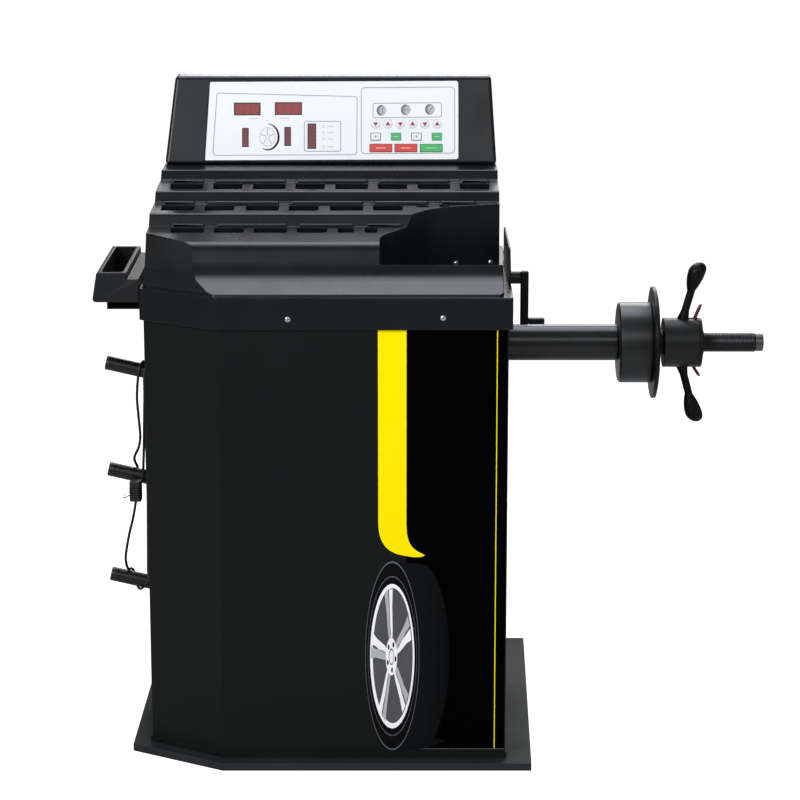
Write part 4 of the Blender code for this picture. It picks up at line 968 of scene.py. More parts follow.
FACE = (Matrix.Translation((0, CONSOLE_FRONT + FACE_RISE * math.sin(FACE_TILT),
                            CONSOLE_BOTTOM + FACE_RISE * math.cos(FACE_TILT)))
        @ Matrix.Rotation(math.pi / 2 - FACE_TILT, 4, "X"))
FASCIA_LOOP = [(-0.237, -0.001), (0.2435, 0.001), (0.2435, 0.1515), (-0.228, 0.1495)]
FASCIA_LOW, FASCIA_TOP = -0.0027, -0.0007
WINDOWS = {"display_left": (-0.1570, 0.0973, 0.050, 0.0240), "display_right": (-0.0790, 0.0980, 0.051, 0.0240),
           "bar_left": (-0.1603, 0.0429, 0.0121, 0.0360), "bar_right": (-0.0803, 0.0448, 0.0121, 0.0360),
           "bar_mode": (-0.0345, 0.0454, 0.0158, 0.0480)}
ARROW_KEYS = [(0.0863 + 0.02335 * i, 0.0687) for i in range(6)]
SMALL_KEYS = [(0.0863 + 0.0387 * i, 0.0445) for i in range(4)]
LARGE_KEYS = [(0.0963, 0.0228), (0.1437, 0.0228), (0.1917, 0.0228)]
ARROW_R, SMALL_SIZE, LARGE_SIZE = 0.0082, (0.0188, 0.0145), (0.0425, 0.0155)
KEY_LOW, KEY_HIGH = -0.0022, 0.0003


def tapered(front, back, low, high, half_low, half_high, shrink=0.0):
    """Console block: a box whose front leans back and whose sides draw in towards the top."""
    bm = bmesh.new()
    bmesh.ops.create_cube(bm, size=2)
    for vert in bm.verts:
        top = vert.co.z > 0
        centre, half = half_high if top else half_low
        x = centre + math.copysign(half - shrink, vert.co.x)
        y = (front[1] if top else front[0]) + shrink if vert.co.y < 0 else back
        vert.co = (x, y, high if top else low)
    return mesh_of(bm, "block")


def softened(mesh, width, segments, angle=60):
    """Mesh with a bevel worked into it, so that it can be cut afterwards."""
    bm = bmesh.new()
    bm.from_mesh(mesh)
    edges = [e for e in bm.edges if len(e.link_faces) == 2 and e.calc_face_angle() > math.radians(angle)]
    bmesh.ops.bevel(bm, geom=edges, offset=width, segments=segments, profile=0.5, affect="EDGES")
    return mesh_of(bm, "softened")


def recess_edge_loop():
    """Edge of the recess that the fascia sits in."""
    return rounded(inset(FASCIA_LOOP, -0.0012), [0.003, 0.006, 0.006, 0.003], 6)


def make_console():
    """Head with rounded edges and a recess for the fascia, and the fascia sheet with its openings."""
    sides_low, sides_high = (0.0015, 0.3140), (0.0060, 0.2995)
    head = tapered((CONSOLE_FRONT, CONSOLE_TOP_FRONT), CONSOLE_BACK, CONSOLE_BOTTOM, CONSOLE_TOP, sides_low,
                   sides_high)
    head = softened(head, 0.0072, 8)
    wall = 0.005
    hollow = tapered((CONSOLE_FRONT + 0.004, CONSOLE_TOP_FRONT + 0.002), CONSOLE_BACK + 0.02,
                     CONSOLE_BOTTOM + wall, CONSOLE_TOP - wall, sides_low, sides_high, 0.006)
    recess = slab([recess_edge_loop()], -0.003, 0.02)
    recess.transform(FACE)
    show("console_shell", clean(cut(head, hollow, recess), 0.4), COVER, node="console_head",
         bevel=0.0006, segments=2, limit=40)
    refine("console_back", COVER, bevel=0.0012, segments=3)

    holes = [ellipse(*at, ARROW_R + 0.0004, ARROW_R + 0.0004, 40) for at in ARROW_KEYS]
    for places, (wide, tall) in ((SMALL_KEYS, SMALL_SIZE), (LARGE_KEYS, LARGE_SIZE)):
        holes += [rounded(rectangle(*at, wide + 0.0008, tall + 0.0008), 0.0016, 4) for at in places]
    holes += [rounded(rectangle(x, y, w + 0.0006, h + 0.0006), 0.0008, 3) for x, y, w, h in WINDOWS.values()]
    sheet = slab([rounded(FASCIA_LOOP, [0.002, 0.005, 0.005, 0.002], 6)] + holes, FASCIA_LOW, FASCIA_TOP)
    show("fascia_sheet", sheet, FASCIA, node="fascia_panel", bevel=0.00025, segments=2,
         limit=50, place=FACE)
    make_fascia_print()
    make_windows()


def on_face(name, loops, finish, low=FASCIA_TOP, thick=0.00015, body="cabinet"):
    """Thin print on the fascia."""
    return show(name, slab(loops, low, low + thick), finish, body, place=FACE)


def outline_band(loop, width):
    return [loop, inset(loop, width)]


def make_fascia_print():
    """Grey frames round the groups, a wheel symbol, setting symbols, short caption marks, and a painted shadow
    line round the fascia.
    """
    line = 0.0012
    edge_loop = rounded(inset(FASCIA_LOOP, 0.0004), [0.002, 0.005, 0.005, 0.002], 6)
    # Black band over the gap between the fascia and its recess: a painted shadow line, not a real gasket.
    on_face("fascia_shadow_line", [recess_edge_loop(), edge_loop], BLACK_PRINT_AND_SHADE, thick=0.0003)
    left = rounded([(-0.2226, 0.0082), (0.0511, 0.0095), (0.0520, 0.1215), (-0.2150, 0.1284)], 0.006, 6)
    right = rounded([(0.0586, 0.0114), (0.2366, 0.0125), (0.2366, 0.1399), (0.0586, 0.1385)], 0.008, 6)
    icons = rounded([(0.0808, 0.0801), (0.2117, 0.0815), (0.2117, 0.1099), (0.0808, 0.1085)], 0.004, 5)
    mode = rounded([(-0.0494, 0.0160), (0.0208, 0.0160), (0.0208, 0.0744), (-0.0494, 0.0744)], 0.004, 5)
    for name, loop in (("frame_left", left), ("frame_right", right), ("frame_icons", icons),
                       ("frame_mode", mode)):
        on_face(name, outline_band(loop, line), GREY_PRINT)

    arc = ellipse(-0.1180, 0.0440, 0.0205, 0.0245, 40, math.radians(-118), math.radians(205))
    widths = [0.0010 + 0.0030 * math.sin(math.pi * i / 39) ** 0.7 for i in range(40)]
    outer = [Vector(p) for p in arc]
    rim = [tuple(p + (p - Vector((-0.1180, 0.0440))).normalized() * w / 2) for p, w in zip(outer, widths)]
    hub = [tuple(p - (p - Vector((-0.1180, 0.0440))).normalized() * w / 2) for p, w in zip(outer, widths)]
    on_face("wheel_symbol", [rim + hub[::-1]], BLACK_PRINT_AND_SHADE)
    on_face("wheel_symbol_rim", [ellipse(-0.1185, 0.0440, 0.0150, 0.0180, 48),
                                 ellipse(-0.1185, 0.0440, 0.0143, 0.0173, 48)], GREY_PRINT)
    on_face("wheel_symbol_hub", [ellipse(-0.1185, 0.0440, 0.0042, 0.0050, 32),
                                 ellipse(-0.1185, 0.0440, 0.0034, 0.0042, 32)], GREY_PRINT)
    for i in range(5):
        turn = math.radians(90 + 72 * i)
        spoke = [(-0.1185 + r * math.cos(turn), 0.0440 + r * 1.2 * math.sin(turn)) for r in (0.0052, 0.0135)]
        on_face(f"wheel_symbol_spoke_{i + 1}", [ribbon(spoke, 0.0011)], GREY_PRINT)

    for i, (x, y) in enumerate(((0.0976, 0.0946), (0.1437, 0.0956), (0.1894, 0.0965))):
        make_setting_symbol(i + 1, x, y)
    captions = ((-0.1455, 0.0790, 0.018), (-0.0860, 0.0795, 0.018), (-0.1180, 0.0755, 0.004))
    for i, (x, y, w) in enumerate(captions):
        on_face(f"caption_{i + 1}", [rectangle(x, y, w, 0.0014)], PALE_PRINT)
    marks = [(-0.0120, 0.0640), (-0.0120, 0.0520), (-0.0120, 0.0400), (-0.0120, 0.0250)]
    for i, (x, y) in enumerate(marks):
        on_face(f"mode_mark_{i + 1}", [ellipse(x, y, 0.0026, 0.0026, 20), ellipse(x, y, 0.0018, 0.0018, 20)],
                PALE_PRINT)
        on_face(f"mode_line_{i + 1}", [rectangle(x + 0.0130, y, 0.0130, 0.0012)], PALE_PRINT)


def make_setting_symbol(index, x, y):
    """Round grey symbol of a wheel measure: a shaded disc, an arc and an arrow line."""
    on_face(f"setting_{index}_disc", [ellipse(x, y, 0.0088, 0.0100, 40)], GREY_DISC)
    on_face(f"setting_{index}_face", [ellipse(x + 0.0026, y - 0.0006, 0.0060, 0.0082, 36)], PALE_PRINT,
            low=FASCIA_TOP + 0.00015)
    arc = ellipse(x - 0.0006, y, 0.0076, 0.0090, 24, math.radians(75), math.radians(190))
    on_face(f"setting_{index}_tyre", [ribbon(arc, 0.0020)], GREY_DARK, low=FASCIA_TOP + 0.00015)
    ends = {1: ((x + 0.0020, y - 0.006), (x + 0.0020, y + 0.006)), 2: ((x - 0.0035, y), (x + 0.0065, y)),
            3: ((x - 0.002, y - 0.005), (x + 0.006, y + 0.005))}[index]
    on_face(f"setting_{index}_arrow", [ribbon(list(ends), 0.0010)], GREY_DARK, low=FASCIA_TOP + 0.0003)


def digit(x, y, width, height, stroke, segments="abcdefg"):
    """Loops of the named segments of one seven-segment digit."""
    half_w, half_h = width / 2 - stroke / 2, height / 2 - stroke / 2
    gap = stroke * 0.62
    bars = {"a": ((-half_w, half_h), (half_w, half_h)), "g": ((-half_w, 0), (half_w, 0)),
            "d": ((-half_w, -half_h), (half_w, -half_h)), "f": ((-half_w, 0), (-half_w, half_h)),
            "b": ((half_w, 0), (half_w, half_h)), "e": ((-half_w, -half_h), (-half_w, 0)),
            "c": ((half_w, -half_h), (half_w, 0))}
    loops = []
    for key in segments:
        (x0, y0), (x1, y1) = bars[key]
        start, end = Vector((x + x0, y + y0)), Vector((x + x1, y + y1))
        along = (end - start).normalized()
        across = Vector((-along.y, along.x)) * stroke / 2
        start, end = start + along * gap, end - along * gap
        inner_start, inner_end = start + along * stroke / 2, end - along * stroke / 2
        loops.append([tuple(start), tuple(inner_start - across), tuple(inner_end - across), tuple(end),
                      tuple(inner_end + across), tuple(inner_start + across)])
    return loops


def make_windows():
    """Red filters in dark rims: three unlit digits in each display, and lamp blocks in each bar, all with a
    painted glow.
    """
    for node, (x, y, width, height) in WINDOWS.items():
        glass = slab([rounded(rectangle(x, y, width, height), 0.0006, 3)], FASCIA_LOW, FASCIA_TOP - 0.0004)
        show(node + "_rim", glass, WINDOW_RIM, node=node, bevel=0.0002, segments=1, place=FACE)
        display = node.startswith("display")
        border = 0.0021 if display else 0.0013
        top = FASCIA_TOP - 0.0004
        look = DISPLAY_FILTER_GLOW if display else BAR_FILTER_GLOW
        on_face(node + "_filter", [rounded(rectangle(x, y, width - 2 * border, height - 2 * border), 0.0008, 3)],
                look, low=top, thick=0.00012)
        top += 0.00012
        if display:
            for i in range(3):
                loops = digit(x + (i - 1) * 0.0136, y, 0.0092, 0.0150, 0.0017)
                mesh = joined([slab([loop], top, top + 0.00006) for loop in loops])
                show(f"{node}_digit_{i + 1}", mesh, DIGIT_GLOW, place=FACE)
        else:
            count = 5 if node != "bar_mode" else 6
            step = (height - 2 * border) / count
            blocks = [slab([rectangle(x, y - height / 2 + border + step * (i + 0.5), width - 3.2 * border,
                                      step * 0.62)], top, top + 0.00006) for i in range(count)]
            show(f"{node}_lamps", joined(blocks), LAMP_BLOCK_GLOW, place=FACE)


def make_keys():
    """Domed keys, each on its own slide, with arrows and marks moulded on top."""
    looks = {"small": (KEY_WHITE, KEY_GREEN, KEY_WHITE, KEY_GREEN), "large": (KEY_RED, KEY_RED, KEY_GREEN)}
    slots = {KEY_WHITE: "key_white", KEY_GREEN: "key_green", KEY_RED: "key_red"}
    for i, (x, y) in enumerate(ARROW_KEYS):
        name = f"key_arrow_{i + 1}"
        place = FACE @ Matrix.Translation((x, y, 0))
        cap = spun([(0, KEY_HIGH - 0.0002), (ARROW_R * 0.55, KEY_HIGH - 0.00025), (ARROW_R * 0.90, -0.0002),
                    (ARROW_R, -0.0006), (ARROW_R, KEY_LOW), (0, KEY_LOW)], 40)
        show(name + "_cap", cap, KEY_WHITE, name, name, place=place, smooth=50)
        sign = -1 if i % 2 == 0 else 1
        arrow = rounded([(-0.0048, -0.0030 * sign), (0.0048, -0.0030 * sign), (0, 0.0050 * sign)], 0.0008, 3)
        show(name + "_arrow", slab([arrow], KEY_HIGH - 0.00050, KEY_HIGH), ARROW_RED, name,
             place=place)
    for kind, places, size in (("small", SMALL_KEYS, SMALL_SIZE), ("large", LARGE_KEYS, LARGE_SIZE)):
        for i, (x, y) in enumerate(places):
            name = f"key_{kind}_{i + 1}"
            look = looks[kind][i]
            place = FACE @ Matrix.Translation((x, y, 0))
            rim = rounded(rectangle(0, 0, *size), 0.0014, 4)
            edge_look, edge_slot = (GREY_PRINT, "trim_plastic") if look is KEY_WHITE else (look, slots[look])
            if kind == "large":
                # Large keys' skirts take darker copies of the key colour: painted shade on the key sides.
                edge_look = {KEY_RED: KEY_RED_SHADED_SKIRT, KEY_GREEN: KEY_GREEN_SHADED_SKIRT}[look]
            show(name + "_skirt", slab([rim], KEY_LOW, -0.0003), edge_look, name, name,
                 bevel=0.0003, place=place)
            crown = rounded(rectangle(0, 0, size[0] - 0.0020, size[1] - 0.0020), 0.0012, 4)
            show(name + "_crown", slab([crown], -0.0003, KEY_HIGH - 0.00015), look, name,
                 bevel=0.0002, limit=50, place=place)
            mark, mark_look = rounded(rectangle(0, 0, size[0] * 0.46, 0.0011), 0.0003, 2), KEY_MARK
            if look is KEY_WHITE:
                mark, mark_look = ellipse(0, 0, 0.0017, 0.0020, 24), GREY_PRINT
            show(name + "_mark", slab([mark], KEY_HIGH - 0.00015, KEY_HIGH), mark_look, name,
                 place=place)


# ---------------------------------------------------------------- spindle and quick nut

def arc_profile(cx, cz, radius, start, end, count=6):
    """Points of an arc in a turned profile, angles in degrees from the radius direction."""
    return [(cx + radius * math.cos(math.radians(start + (end - start) * i / (count - 1))),
             cz + radius * math.sin(math.radians(start + (end - start) * i / (count - 1)))) for i in range(count)]


def turn_piece(name, profile, finish, body, node=None, steps=96, closed=False, smooth=32, start=0.0):
    mesh = along_x(spun(profile, steps, closed), start, 0, AXIS_Z)
    return show(name, mesh, finish, body, node, smooth=smooth)


def make_spindle():
    """Housing tube with a lip, hub with a groove, coned flange, and the shaft with its thread."""
    length, neck, bore, radius, shoulder = 0.517, 0.0153, 0.026, 0.03375, 0.018
    housing = [(neck, 0), (radius - 0.001, 0), (radius, 0.001), (radius, length - 0.0015),
               (radius - 0.0015, length), (neck, length), (neck, length - shoulder), (bore, length - shoulder),
               (bore, shoulder), (neck, shoulder)]
    turn_piece("housing_tube", housing, TUBE, "cabinet", "spindle_housing", closed=True,
               start=TUBE_START)
    turn_piece("spindle_bar", [(0, -0.045), (0.014, -0.045), (0.015, -0.044), (0.015, 0.5373), (0, 0.5373)],
               STEEL, "spindle", "main_spindle", 48)

    face, back, r = 0.5989, 0.5376, 0.075
    hub = [(0, back), (r - 0.006, back), (r - 0.0030, back + 0.0008), (r - 0.0008, back + 0.0028)]
    hub += [(r, back + 0.0060)] + arc_profile(r - 0.0024, face - 0.0024, 0.0024, 0, 90, 5) + [(0, face)]
    turn_piece("drive_hub_fine", hub, HUB_COAT, "spindle", "drive_hub")
    front, rear, r = 0.6095, 0.5992, 0.104
    flange = [(0, rear), (0.078, rear), (r - 0.0030, rear + 0.0010)]
    flange += arc_profile(r - 0.0015, rear + 0.0026, 0.0015, -60, 0, 4)
    flange += arc_profile(r - 0.0015, front - 0.0034, 0.0015, 0, 60, 4)
    flange += [(0.0952, front - 0.0004), (0.0938, front), (0.0620, front), (0.0612, front - 0.0008),
               (0.0588, front - 0.0008), (0.0580, front), (0, front)]
    turn_piece("wheel_flange_fine", flange, OXIDE, "spindle", "wheel_flange")
    make_thread()
    turn_piece("large_pulley", pulley_profile(0.075, 0.0153), PULLEY, "spindle",
               "spindle_pulley", closed=True)
    refine("motor_pulley", PULLEY, "motor_rotor", bevel=0.0004)
    refine("drive_belt", RUBBER, bevel=0.0006)


def pulley_profile(radius, bore):
    half, cheek, rise = 0.010, 0.003, 0.005
    outer = [(radius + rise, half + cheek), (radius + rise, half), (radius, half), (radius, -half),
             (radius + rise, -half), (radius + rise, -half - cheek)]
    return outer + [(bore, -half - cheek), (bore, half + cheek)]


def make_thread():
    """Trapezoidal thread along the shaft, a plain tip with a driven end, and a smooth root."""
    start, end, radius, pitch, depth = 0.6098, 0.8087, 0.018, 0.0030, 0.0008
    first, last, steps = 0.6935, end - 0.0180, 64
    samples = (0.0, 0.18, 0.34, 0.52, 0.68, 0.84)
    shape = (0.0, 0.0, 1.0, 1.0, 1.0, 0.35)
    rows = []
    turn = first
    while turn < last:
        for share in samples:
            if turn + share * pitch < last:
                rows.append(turn + share * pitch)
        turn += pitch
    rings = []

    def ring(x, radius_at):
        rings.append([(x, radius_at(i) * math.cos(2 * math.pi * i / steps),
                       radius_at(i) * math.sin(2 * math.pi * i / steps)) for i in range(steps)])

    def threaded(x):
        def radius_at(i):
            phase = ((x - first) / pitch - i / steps) % 1.0
            marks = list(zip(samples, shape)) + [(1.0, shape[0])]
            for (a, high_a), (b, high_b) in zip(marks, marks[1:]):
                if a <= phase <= b:
                    level = high_a + (high_b - high_a) * (phase - a) / (b - a)
                    fade = min(1.0, (x - first) / pitch, (last - x) / pitch)
                    return radius - depth * max(fade, 0.0) * level
            return radius
        return radius_at

    ring(start, lambda i: radius - 0.0012)
    ring(start + 0.0012, lambda i: radius)
    for x in rows:
        ring(x, threaded(x))
    for x, r in ((last, radius), (end - 0.0168, radius), (end - 0.0152, 0.0160)):
        ring(x, lambda i, r=r: r)
    mesh = lofted(rings)
    mesh.transform(Matrix.Translation((0, 0, AXIS_Z)))
    show("threaded_shaft_fine", mesh, WORN_STEEL, "spindle", "threaded_shaft", smooth=40)
    tip = [(0, end - 0.0035), (0.0014, end - 0.0035), (0.0050, end), (0.0142, end), (0.0153, end - 0.0006),
           (0.0164, end - 0.0022), (0.0164, end - 0.0140), (0.0156, end - 0.0151), (0, end - 0.0151)]
    turn_piece("shaft_tip", tip, WORN_TIP, "spindle", "threaded_shaft")


def handle_radius(along, tip):
    """Radius of a nut handle: flared root, slim arm, paddle that swells to a ball at the tip."""
    ball, slim, flare = 0.0165, 0.0075, 0.0035
    ball_at, swell_from = tip - ball, 0.0985
    if along > ball_at:
        return math.sqrt(max(ball ** 2 - (along - ball_at) ** 2, 0.0))
    if along > swell_from:
        t = (along - swell_from) / (ball_at - swell_from)
        return slim + (ball - slim) * math.sin(t * math.pi / 2) ** 0.85
    return slim + flare * min(1.0, max(0.0, 1 - (along - 0.0459) / 0.015))


def make_nut():
    """Quick nut: ring, hub with a shallow step, two paddle handles and the red release levers."""
    low, high, r, bore = 0.6218, 0.6932, 0.0459, 0.0184
    ring = [(bore, 0.6168), (0.0227, 0.6168), (0.0235, 0.6176), (0.0235, 0.6207), (0.0227, 0.6215),
            (bore, 0.6215)]
    turn_piece("pressure_ring_fine", ring, OXIDE, "nut_carrier", "pressure_ring", closed=True)
    hub = [(bore, low), (r - 0.0012, low), (r, low + 0.0012), (r, high - 0.0072), (r - 0.0006, high - 0.0066),
           (r - 0.0006, high - 0.0060), (r, high - 0.0054)]
    hub += arc_profile(r - 0.0018, high - 0.0018, 0.0018, 0, 90, 5)
    hub += [(0.0250, high), (0.0242, high + 0.0008), (0.0240, high + 0.0032), (0.0232, high + 0.0040),
            (bore, high + 0.0040)]
    nut = along_x(spun(hub, 96, closed=True), 0, 0, AXIS_Z)
    slot_x = 0.6760
    for side in (1, -1):
        a, b = sorted((side * 0.0335, side * 0.060))
        nut = cut(nut, box_mesh((slot_x - 0.007, -0.006, AXIS_Z + a), (slot_x + 0.011, 0.006, AXIS_Z + b)))
    show("nut_hub_fine", nut, OXIDE, "quick_nut", "nut_hub")
    for node, side in (("nut_handle_upper", 1), ("nut_handle_lower", -1)):
        show(node + "_fine", handle_mesh(side), OXIDE_SOFT, "quick_nut", node, smooth=60)
    for node, body, side in (("release_lever_upper", "lever_upper", 1),
                             ("release_lever_lower", "lever_lower", -1)):
        reach = 0.0330 if side > 0 else 0.0250
        spots = [(0, 0), (0.004, 0.010), (0.010, reach * 0.75), (0.0135, reach)]
        rings = []
        fine = [tuple(Vector(a).lerp(Vector(b), t / 6)) for a, b in zip(spots, spots[1:]) for t in range(6)]
        fine.append(spots[-1])
        for k, (x, along) in enumerate(fine):
            share = k / (len(fine) - 1)
            wide = 0.0036 - 0.0008 * max(0.0, share - 0.7) / 0.3
            if share > 0.93:
                wide *= 0.8
            height = AXIS_Z + side * (0.0395 + along)
            rings.append([(px, py, height) for px, py in ellipse(0.6780 + x, 0, wide, wide, 20)])
        show(node + "_fine", lofted(rings), LEVER, body, node, bevel=0.0005, limit=50)


def handle_mesh(side):
    """Round bar with a smoothly changing radius, its root shaped to the hub."""
    root, tip, rings, steps = 0.0419, 0.1515, 48, 36
    loops = []
    for k in range(rings):
        share = k / (rings - 1)
        along = root + (tip - root) * (1 - (1 - share) ** 1.5)
        radius = max(handle_radius(along, tip), 0.0006)
        x = 0.6575 + 0.274 * (along - root)
        loops.append([(px, py, AXIS_Z + side * along) for px, py in ellipse(x, 0, radius, radius, steps)])
    hub = bore_tool(0.0462, 0.61, 0.70, 96)
    return cut(lofted(loops), hub)


# ---------------------------------------------------------------- gauge, tray, pegs and switch

def make_gauge():
    refine("gauge_bushing", TRIM, bevel=0.0010, segments=3)
    refine("gauge_rod", ROD, "gauge_slider", bevel=0.0010)
    refine("gauge_arm", COAT, "gauge_swinger", bevel=0.0006)
    refine("gauge_foot", TRIM, "gauge_swinger", bevel=0.0006)


def make_accessory_tray():
    """Open tray with rounded corners, a rolled rim and a stepped shelf beside the cover."""
    right, left, top, low = CAB_LEFT - SKIRT_OUT - 0.0003, -0.4195, 0.898, 0.844
    front, rear = -0.1765, 0.1035
    section = rounded([(left, low), (right, low), (right, top - 0.012), (-0.3565, top - 0.012), (-0.3565, top),
                       (-0.4105, top)], [0.006, 0, 0.002, 0.002, 0.0025, 0.004], 5)
    tray = bar([section], front, rear, "Y")
    well = rounded(rectangle(-0.3835, (front + rear) / 2, 0.0380, rear - front - 0.016), 0.005, 5)
    tray = clean(cut(tray, slab([well], low + 0.004, top + 0.01)), 0.4)
    show("tray_body", tray, TRIM, node="accessory_tray", bevel=0.0012, segments=3, limit=40)
    refine("tray_bracket", COAT, bevel=0.0004)


def make_pegs():
    """Turned pegs with a collar at the wall, a rubber sleeve and a rounded tip, flush with the wall."""
    tip = PEG_REACH / math.cos(PEG_TILT)
    for key, height in PEG_HEIGHTS.items():
        place = Matrix.Translation((CAB_LEFT, 0, height)) @ Matrix.Rotation(-math.pi / 2 + PEG_TILT, 4, "Y")
        profile = [(0, -0.012), (PEG_R + 0.0022, -0.012), (PEG_R + 0.0022, 0.0062), (PEG_R + 0.0016, 0.0070),
                   (PEG_R, 0.0078)]
        profile += [(PEG_R, tip - 0.0140), (PEG_R - 0.0006, tip - 0.0134), (PEG_R - 0.0006, tip - 0.0124),
                    (PEG_R, tip - 0.0118)]
        profile += arc_profile(PEG_R - 0.0020, tip - 0.0020, 0.0020, 0, 90, 5)
        profile += [(PEG_R * 0.62, tip), (PEG_R * 0.56, tip - 0.0012), (0, tip - 0.0012)]
        peg = spun(profile, 64)
        peg.transform(place)
        peg = cut(peg, box_mesh((CAB_LEFT - 0.0003, -0.05, height - 0.06), (CAB_LEFT + 0.05, 0.05, height + 0.06)))
        show(f"peg_{key}_fine", peg, PEG, node=f"peg_{key}")


def make_switch():
    """Rocker in its frame, with a raised bar and ring as its marks."""
    refine("switch_frame", TRIM, bevel=0.0006)
    refine("switch_rocker", SWITCH_RED, "rocker", bevel=0.0003)
    low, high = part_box("switch_rocker")
    x, z, y = (low.x + high.x) / 2 - HOME.x, (low.z + high.z) / 2, high.y - HOME.y
    show("switch_bar_mark", bar([rectangle(x, z + 0.0070, 0.0010, 0.0050)], y - 0.0002, y + 0.0001, "Y"),
         KEY_MARK, "rocker")
    ring = [ellipse(x, z - 0.0070, 0.0026, 0.0026, 24), ellipse(x, z - 0.0070, 0.0018, 0.0018, 24)]
    show("switch_ring_mark", bar(ring, y - 0.0002, y + 0.0001, "Y"), KEY_MARK, "rocker")


# ---------------------------------------------------------------- the finishes themselves

COAT = surface("satin black powder coat", (0.0044, 0.0056, 0.0058), 0.42, grain=(0.0011, 0.00003), mottle=0.10,
               wear=((0.06, 0.06, 0.06), 0.3), specular=0.17)
BASE_COAT = surface("scuffed floor pan coat", (0.018, 0.020, 0.021), 0.55, grain=(0.0013, 0.00005), mottle=0.25,
                    wear=((0.10, 0.10, 0.097), 0.6), specular=0.15)
COVER = surface("charcoal moulded plastic", (0.0042, 0.0048, 0.0062), 0.29, grain=(0.0008, 0.00002), mottle=0.08,
                wear=((0.05, 0.052, 0.056), 0.25), specular=0.33)
TRIM = surface("black trim plastic", (0.0058, 0.0062, 0.0075), 0.40, grain=(0.0007, 0.00003), mottle=0.10,
               wear=((0.06, 0.06, 0.06), 0.3), specular=0.35)
FASCIA = surface("white fascia sheet", (0.79, 0.815, 0.85), 0.34, grain=(0.0016, 0.00001), mottle=0.02,
                 specular=0.4)
GREY_PRINT = surface("grey print", (0.19, 0.20, 0.225), 0.4, mottle=0.12)
PALE_PRINT = surface("pale grey print", (0.44, 0.46, 0.48), 0.4, mottle=0.10)
GREY_DISC = surface("shaded grey print", (0.27, 0.28, 0.30), 0.4, mottle=0.2)
GREY_DARK = surface("dark grey print", (0.06, 0.063, 0.068), 0.4, mottle=0.12)
# Black print; also used for the painted shadow line round the fascia.
BLACK_PRINT_AND_SHADE = surface("black print", (0.006, 0.0065, 0.0075), 0.4, mottle=0.12, specular=0.2)
WINDOW_RIM = surface("dark window rim", (0.030, 0.004, 0.007), 0.25, mottle=0.10)
# Display filters, digits and bar lamp blocks carry a painted glow: the displays behind them are not lit.
DISPLAY_FILTER_GLOW = painted_glow_filter("red display filter with painted glow", (0.20, 0.020, 0.019), 0.10)
BAR_FILTER_GLOW = painted_glow_filter("dark red bar filter with painted glow", (0.10, 0.008, 0.016), 0.08)
DIGIT_GLOW = painted_glow_filter("unlit digit with painted glow", (0.26, 0.035, 0.030), 0.12)
LAMP_BLOCK_GLOW = painted_glow_filter("bar lamp block with painted glow", (0.14, 0.013, 0.024), 0.10)
KEY_WHITE = surface("white key", (0.76, 0.77, 0.79), 0.36, grain=(0.0006, 0.00001), mottle=0.03)
KEY_RED = surface("red key", (0.60, 0.055, 0.045), 0.38, grain=(0.0006, 0.00001), mottle=0.08)
# Darker copies of the red and green key colours, for the key skirts: painted shade.
KEY_RED_SHADED_SKIRT = surface("red key skirt, painted shade", (0.32, 0.020, 0.016), 0.42, mottle=0.08)
KEY_GREEN = surface("green key", (0.060, 0.42, 0.140), 0.38, grain=(0.0006, 0.00001), mottle=0.08)
KEY_GREEN_SHADED_SKIRT = surface("green key skirt, painted shade", (0.020, 0.20, 0.050), 0.42, mottle=0.08)
KEY_MARK = surface("key mark", (0.62, 0.60, 0.58), 0.4, mottle=0.05)
ARROW_RED = surface("red arrow print", (0.36, 0.020, 0.050), 0.4, mottle=0.08)
ZINC = surface("bright zinc plate", (0.62, 0.66, 0.66), 0.26, metallic=1.0, mottle=0.14, streak=(1, 1, 9))
STEEL = surface("turned steel", (0.50, 0.51, 0.53), 0.30, metallic=1.0, mottle=0.10, streak=(30, 1, 1))
TUBE = surface("black tube enamel", (0.0075, 0.0080, 0.0086), 0.24, grain=(0.0012, 0.00002), mottle=0.12,
               specular=0.45)
HUB_COAT = surface("blacked hub", (0.0058, 0.0066, 0.0068), 0.34, grain=(0.0008, 0.00001),
                   mottle=0.20, wear=((0.16, 0.16, 0.16), 0.6), streak=(24, 1, 1))
OXIDE = surface("black oxide", (0.0024, 0.0028, 0.0030), 0.38, grain=(0.0008, 0.00001), mottle=0.20,
                wear=((0.16, 0.16, 0.16), 0.6), streak=(24, 1, 1), specular=0.25)
OXIDE_SOFT = surface("cast black handle", (0.0032, 0.0033, 0.0036), 0.42, grain=(0.0010, 0.00003),
                     mottle=0.20, specular=0.15)
WORN_STEEL = surface("oiled thread", (0.016, 0.016, 0.017), 0.34, metallic=0.6, mottle=0.25,
                     wear=((0.22, 0.22, 0.22), 0.5), streak=(24, 1, 1))
WORN_TIP = surface("worn shaft tip", (0.12, 0.12, 0.125), 0.34, metallic=0.9, mottle=0.45, streak=(24, 1, 1))
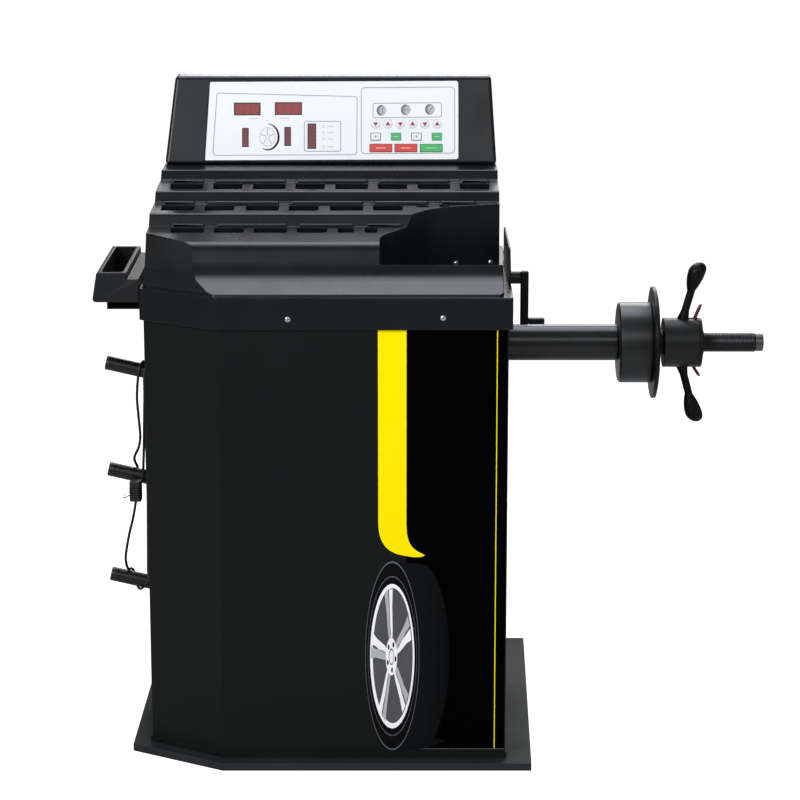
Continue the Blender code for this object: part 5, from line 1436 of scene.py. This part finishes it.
LEVER = surface("dark red lever", (0.085, 0.003, 0.008), 0.34, mottle=0.15)
PULLEY = surface("cast pulley alloy", (0.42, 0.43, 0.44), 0.36, metallic=0.9, mottle=0.15, streak=(30, 1, 1))
MOTOR = surface("motor enamel", (0.012, 0.015, 0.019), 0.45, grain=(0.0014, 0.00004), mottle=0.20)
ROD = surface("black rod plate", (0.012, 0.012, 0.013), 0.30, metallic=0.5, mottle=0.15, streak=(20, 1, 1))
RUBBER = surface("flexible lead sheath", (0.0065, 0.0065, 0.0072), 0.52, grain=(0.0005, 0.00002), mottle=0.20)
PEG = surface("peg sleeve", (0.0022, 0.0022, 0.0026), 0.36, grain=(0.0008, 0.00003), mottle=0.20,
              wear=((0.10, 0.10, 0.10), 0.5))
SWITCH_RED = surface("red rocker", (0.60, 0.035, 0.025), 0.30, mottle=0.08)
PRINT_BLACK = surface("gloss black print", (0.0001, 0.0001, 0.00012), 0.5, grain=(0.0011, 0.00001), mottle=0.10,
                      specular=0.02)
PRINT_YELLOW = surface("yellow print", (1.0, 0.79, 0.0), 0.42, grain=(0.0011, 0.00001), mottle=0.02,
                       specular=0.05)
PRINT_GREY = surface("light outline print", (0.12, 0.127, 0.135), 0.42, mottle=0.25, specular=0.2)
PRINT_TREAD = fading("tyre tread print", (0.0036, 0.0046, 0.0058), (0.0004, 0.0004, 0.0005), 0.165, 0.245, 0.5)
PRINT_TYRE = surface("tyre wall print", (0.0028, 0.0030, 0.0034), 0.5, mottle=0.5, specular=0.08)
PRINT_WELL = surface("wheel well print", (0.085, 0.085, 0.092), 0.45, mottle=0.45, specular=0.1)
PRINT_SILVER = surface("silver wheel print", (0.93, 0.92, 0.95), 0.42, mottle=0.20, specular=0.15)
PRINT_SILVER_DARK = surface("shaded silver print", (0.46, 0.46, 0.49), 0.42, mottle=0.25, specular=0.15)

make_camera()
make_studio()
make_lead()
make_cabinet()
make_rear_panel()
make_front_print()
make_cover()
make_cover_screws()
make_console()
make_keys()
make_spindle()
make_nut()
make_gauge()
make_accessory_tray()
make_pegs()
make_switch()
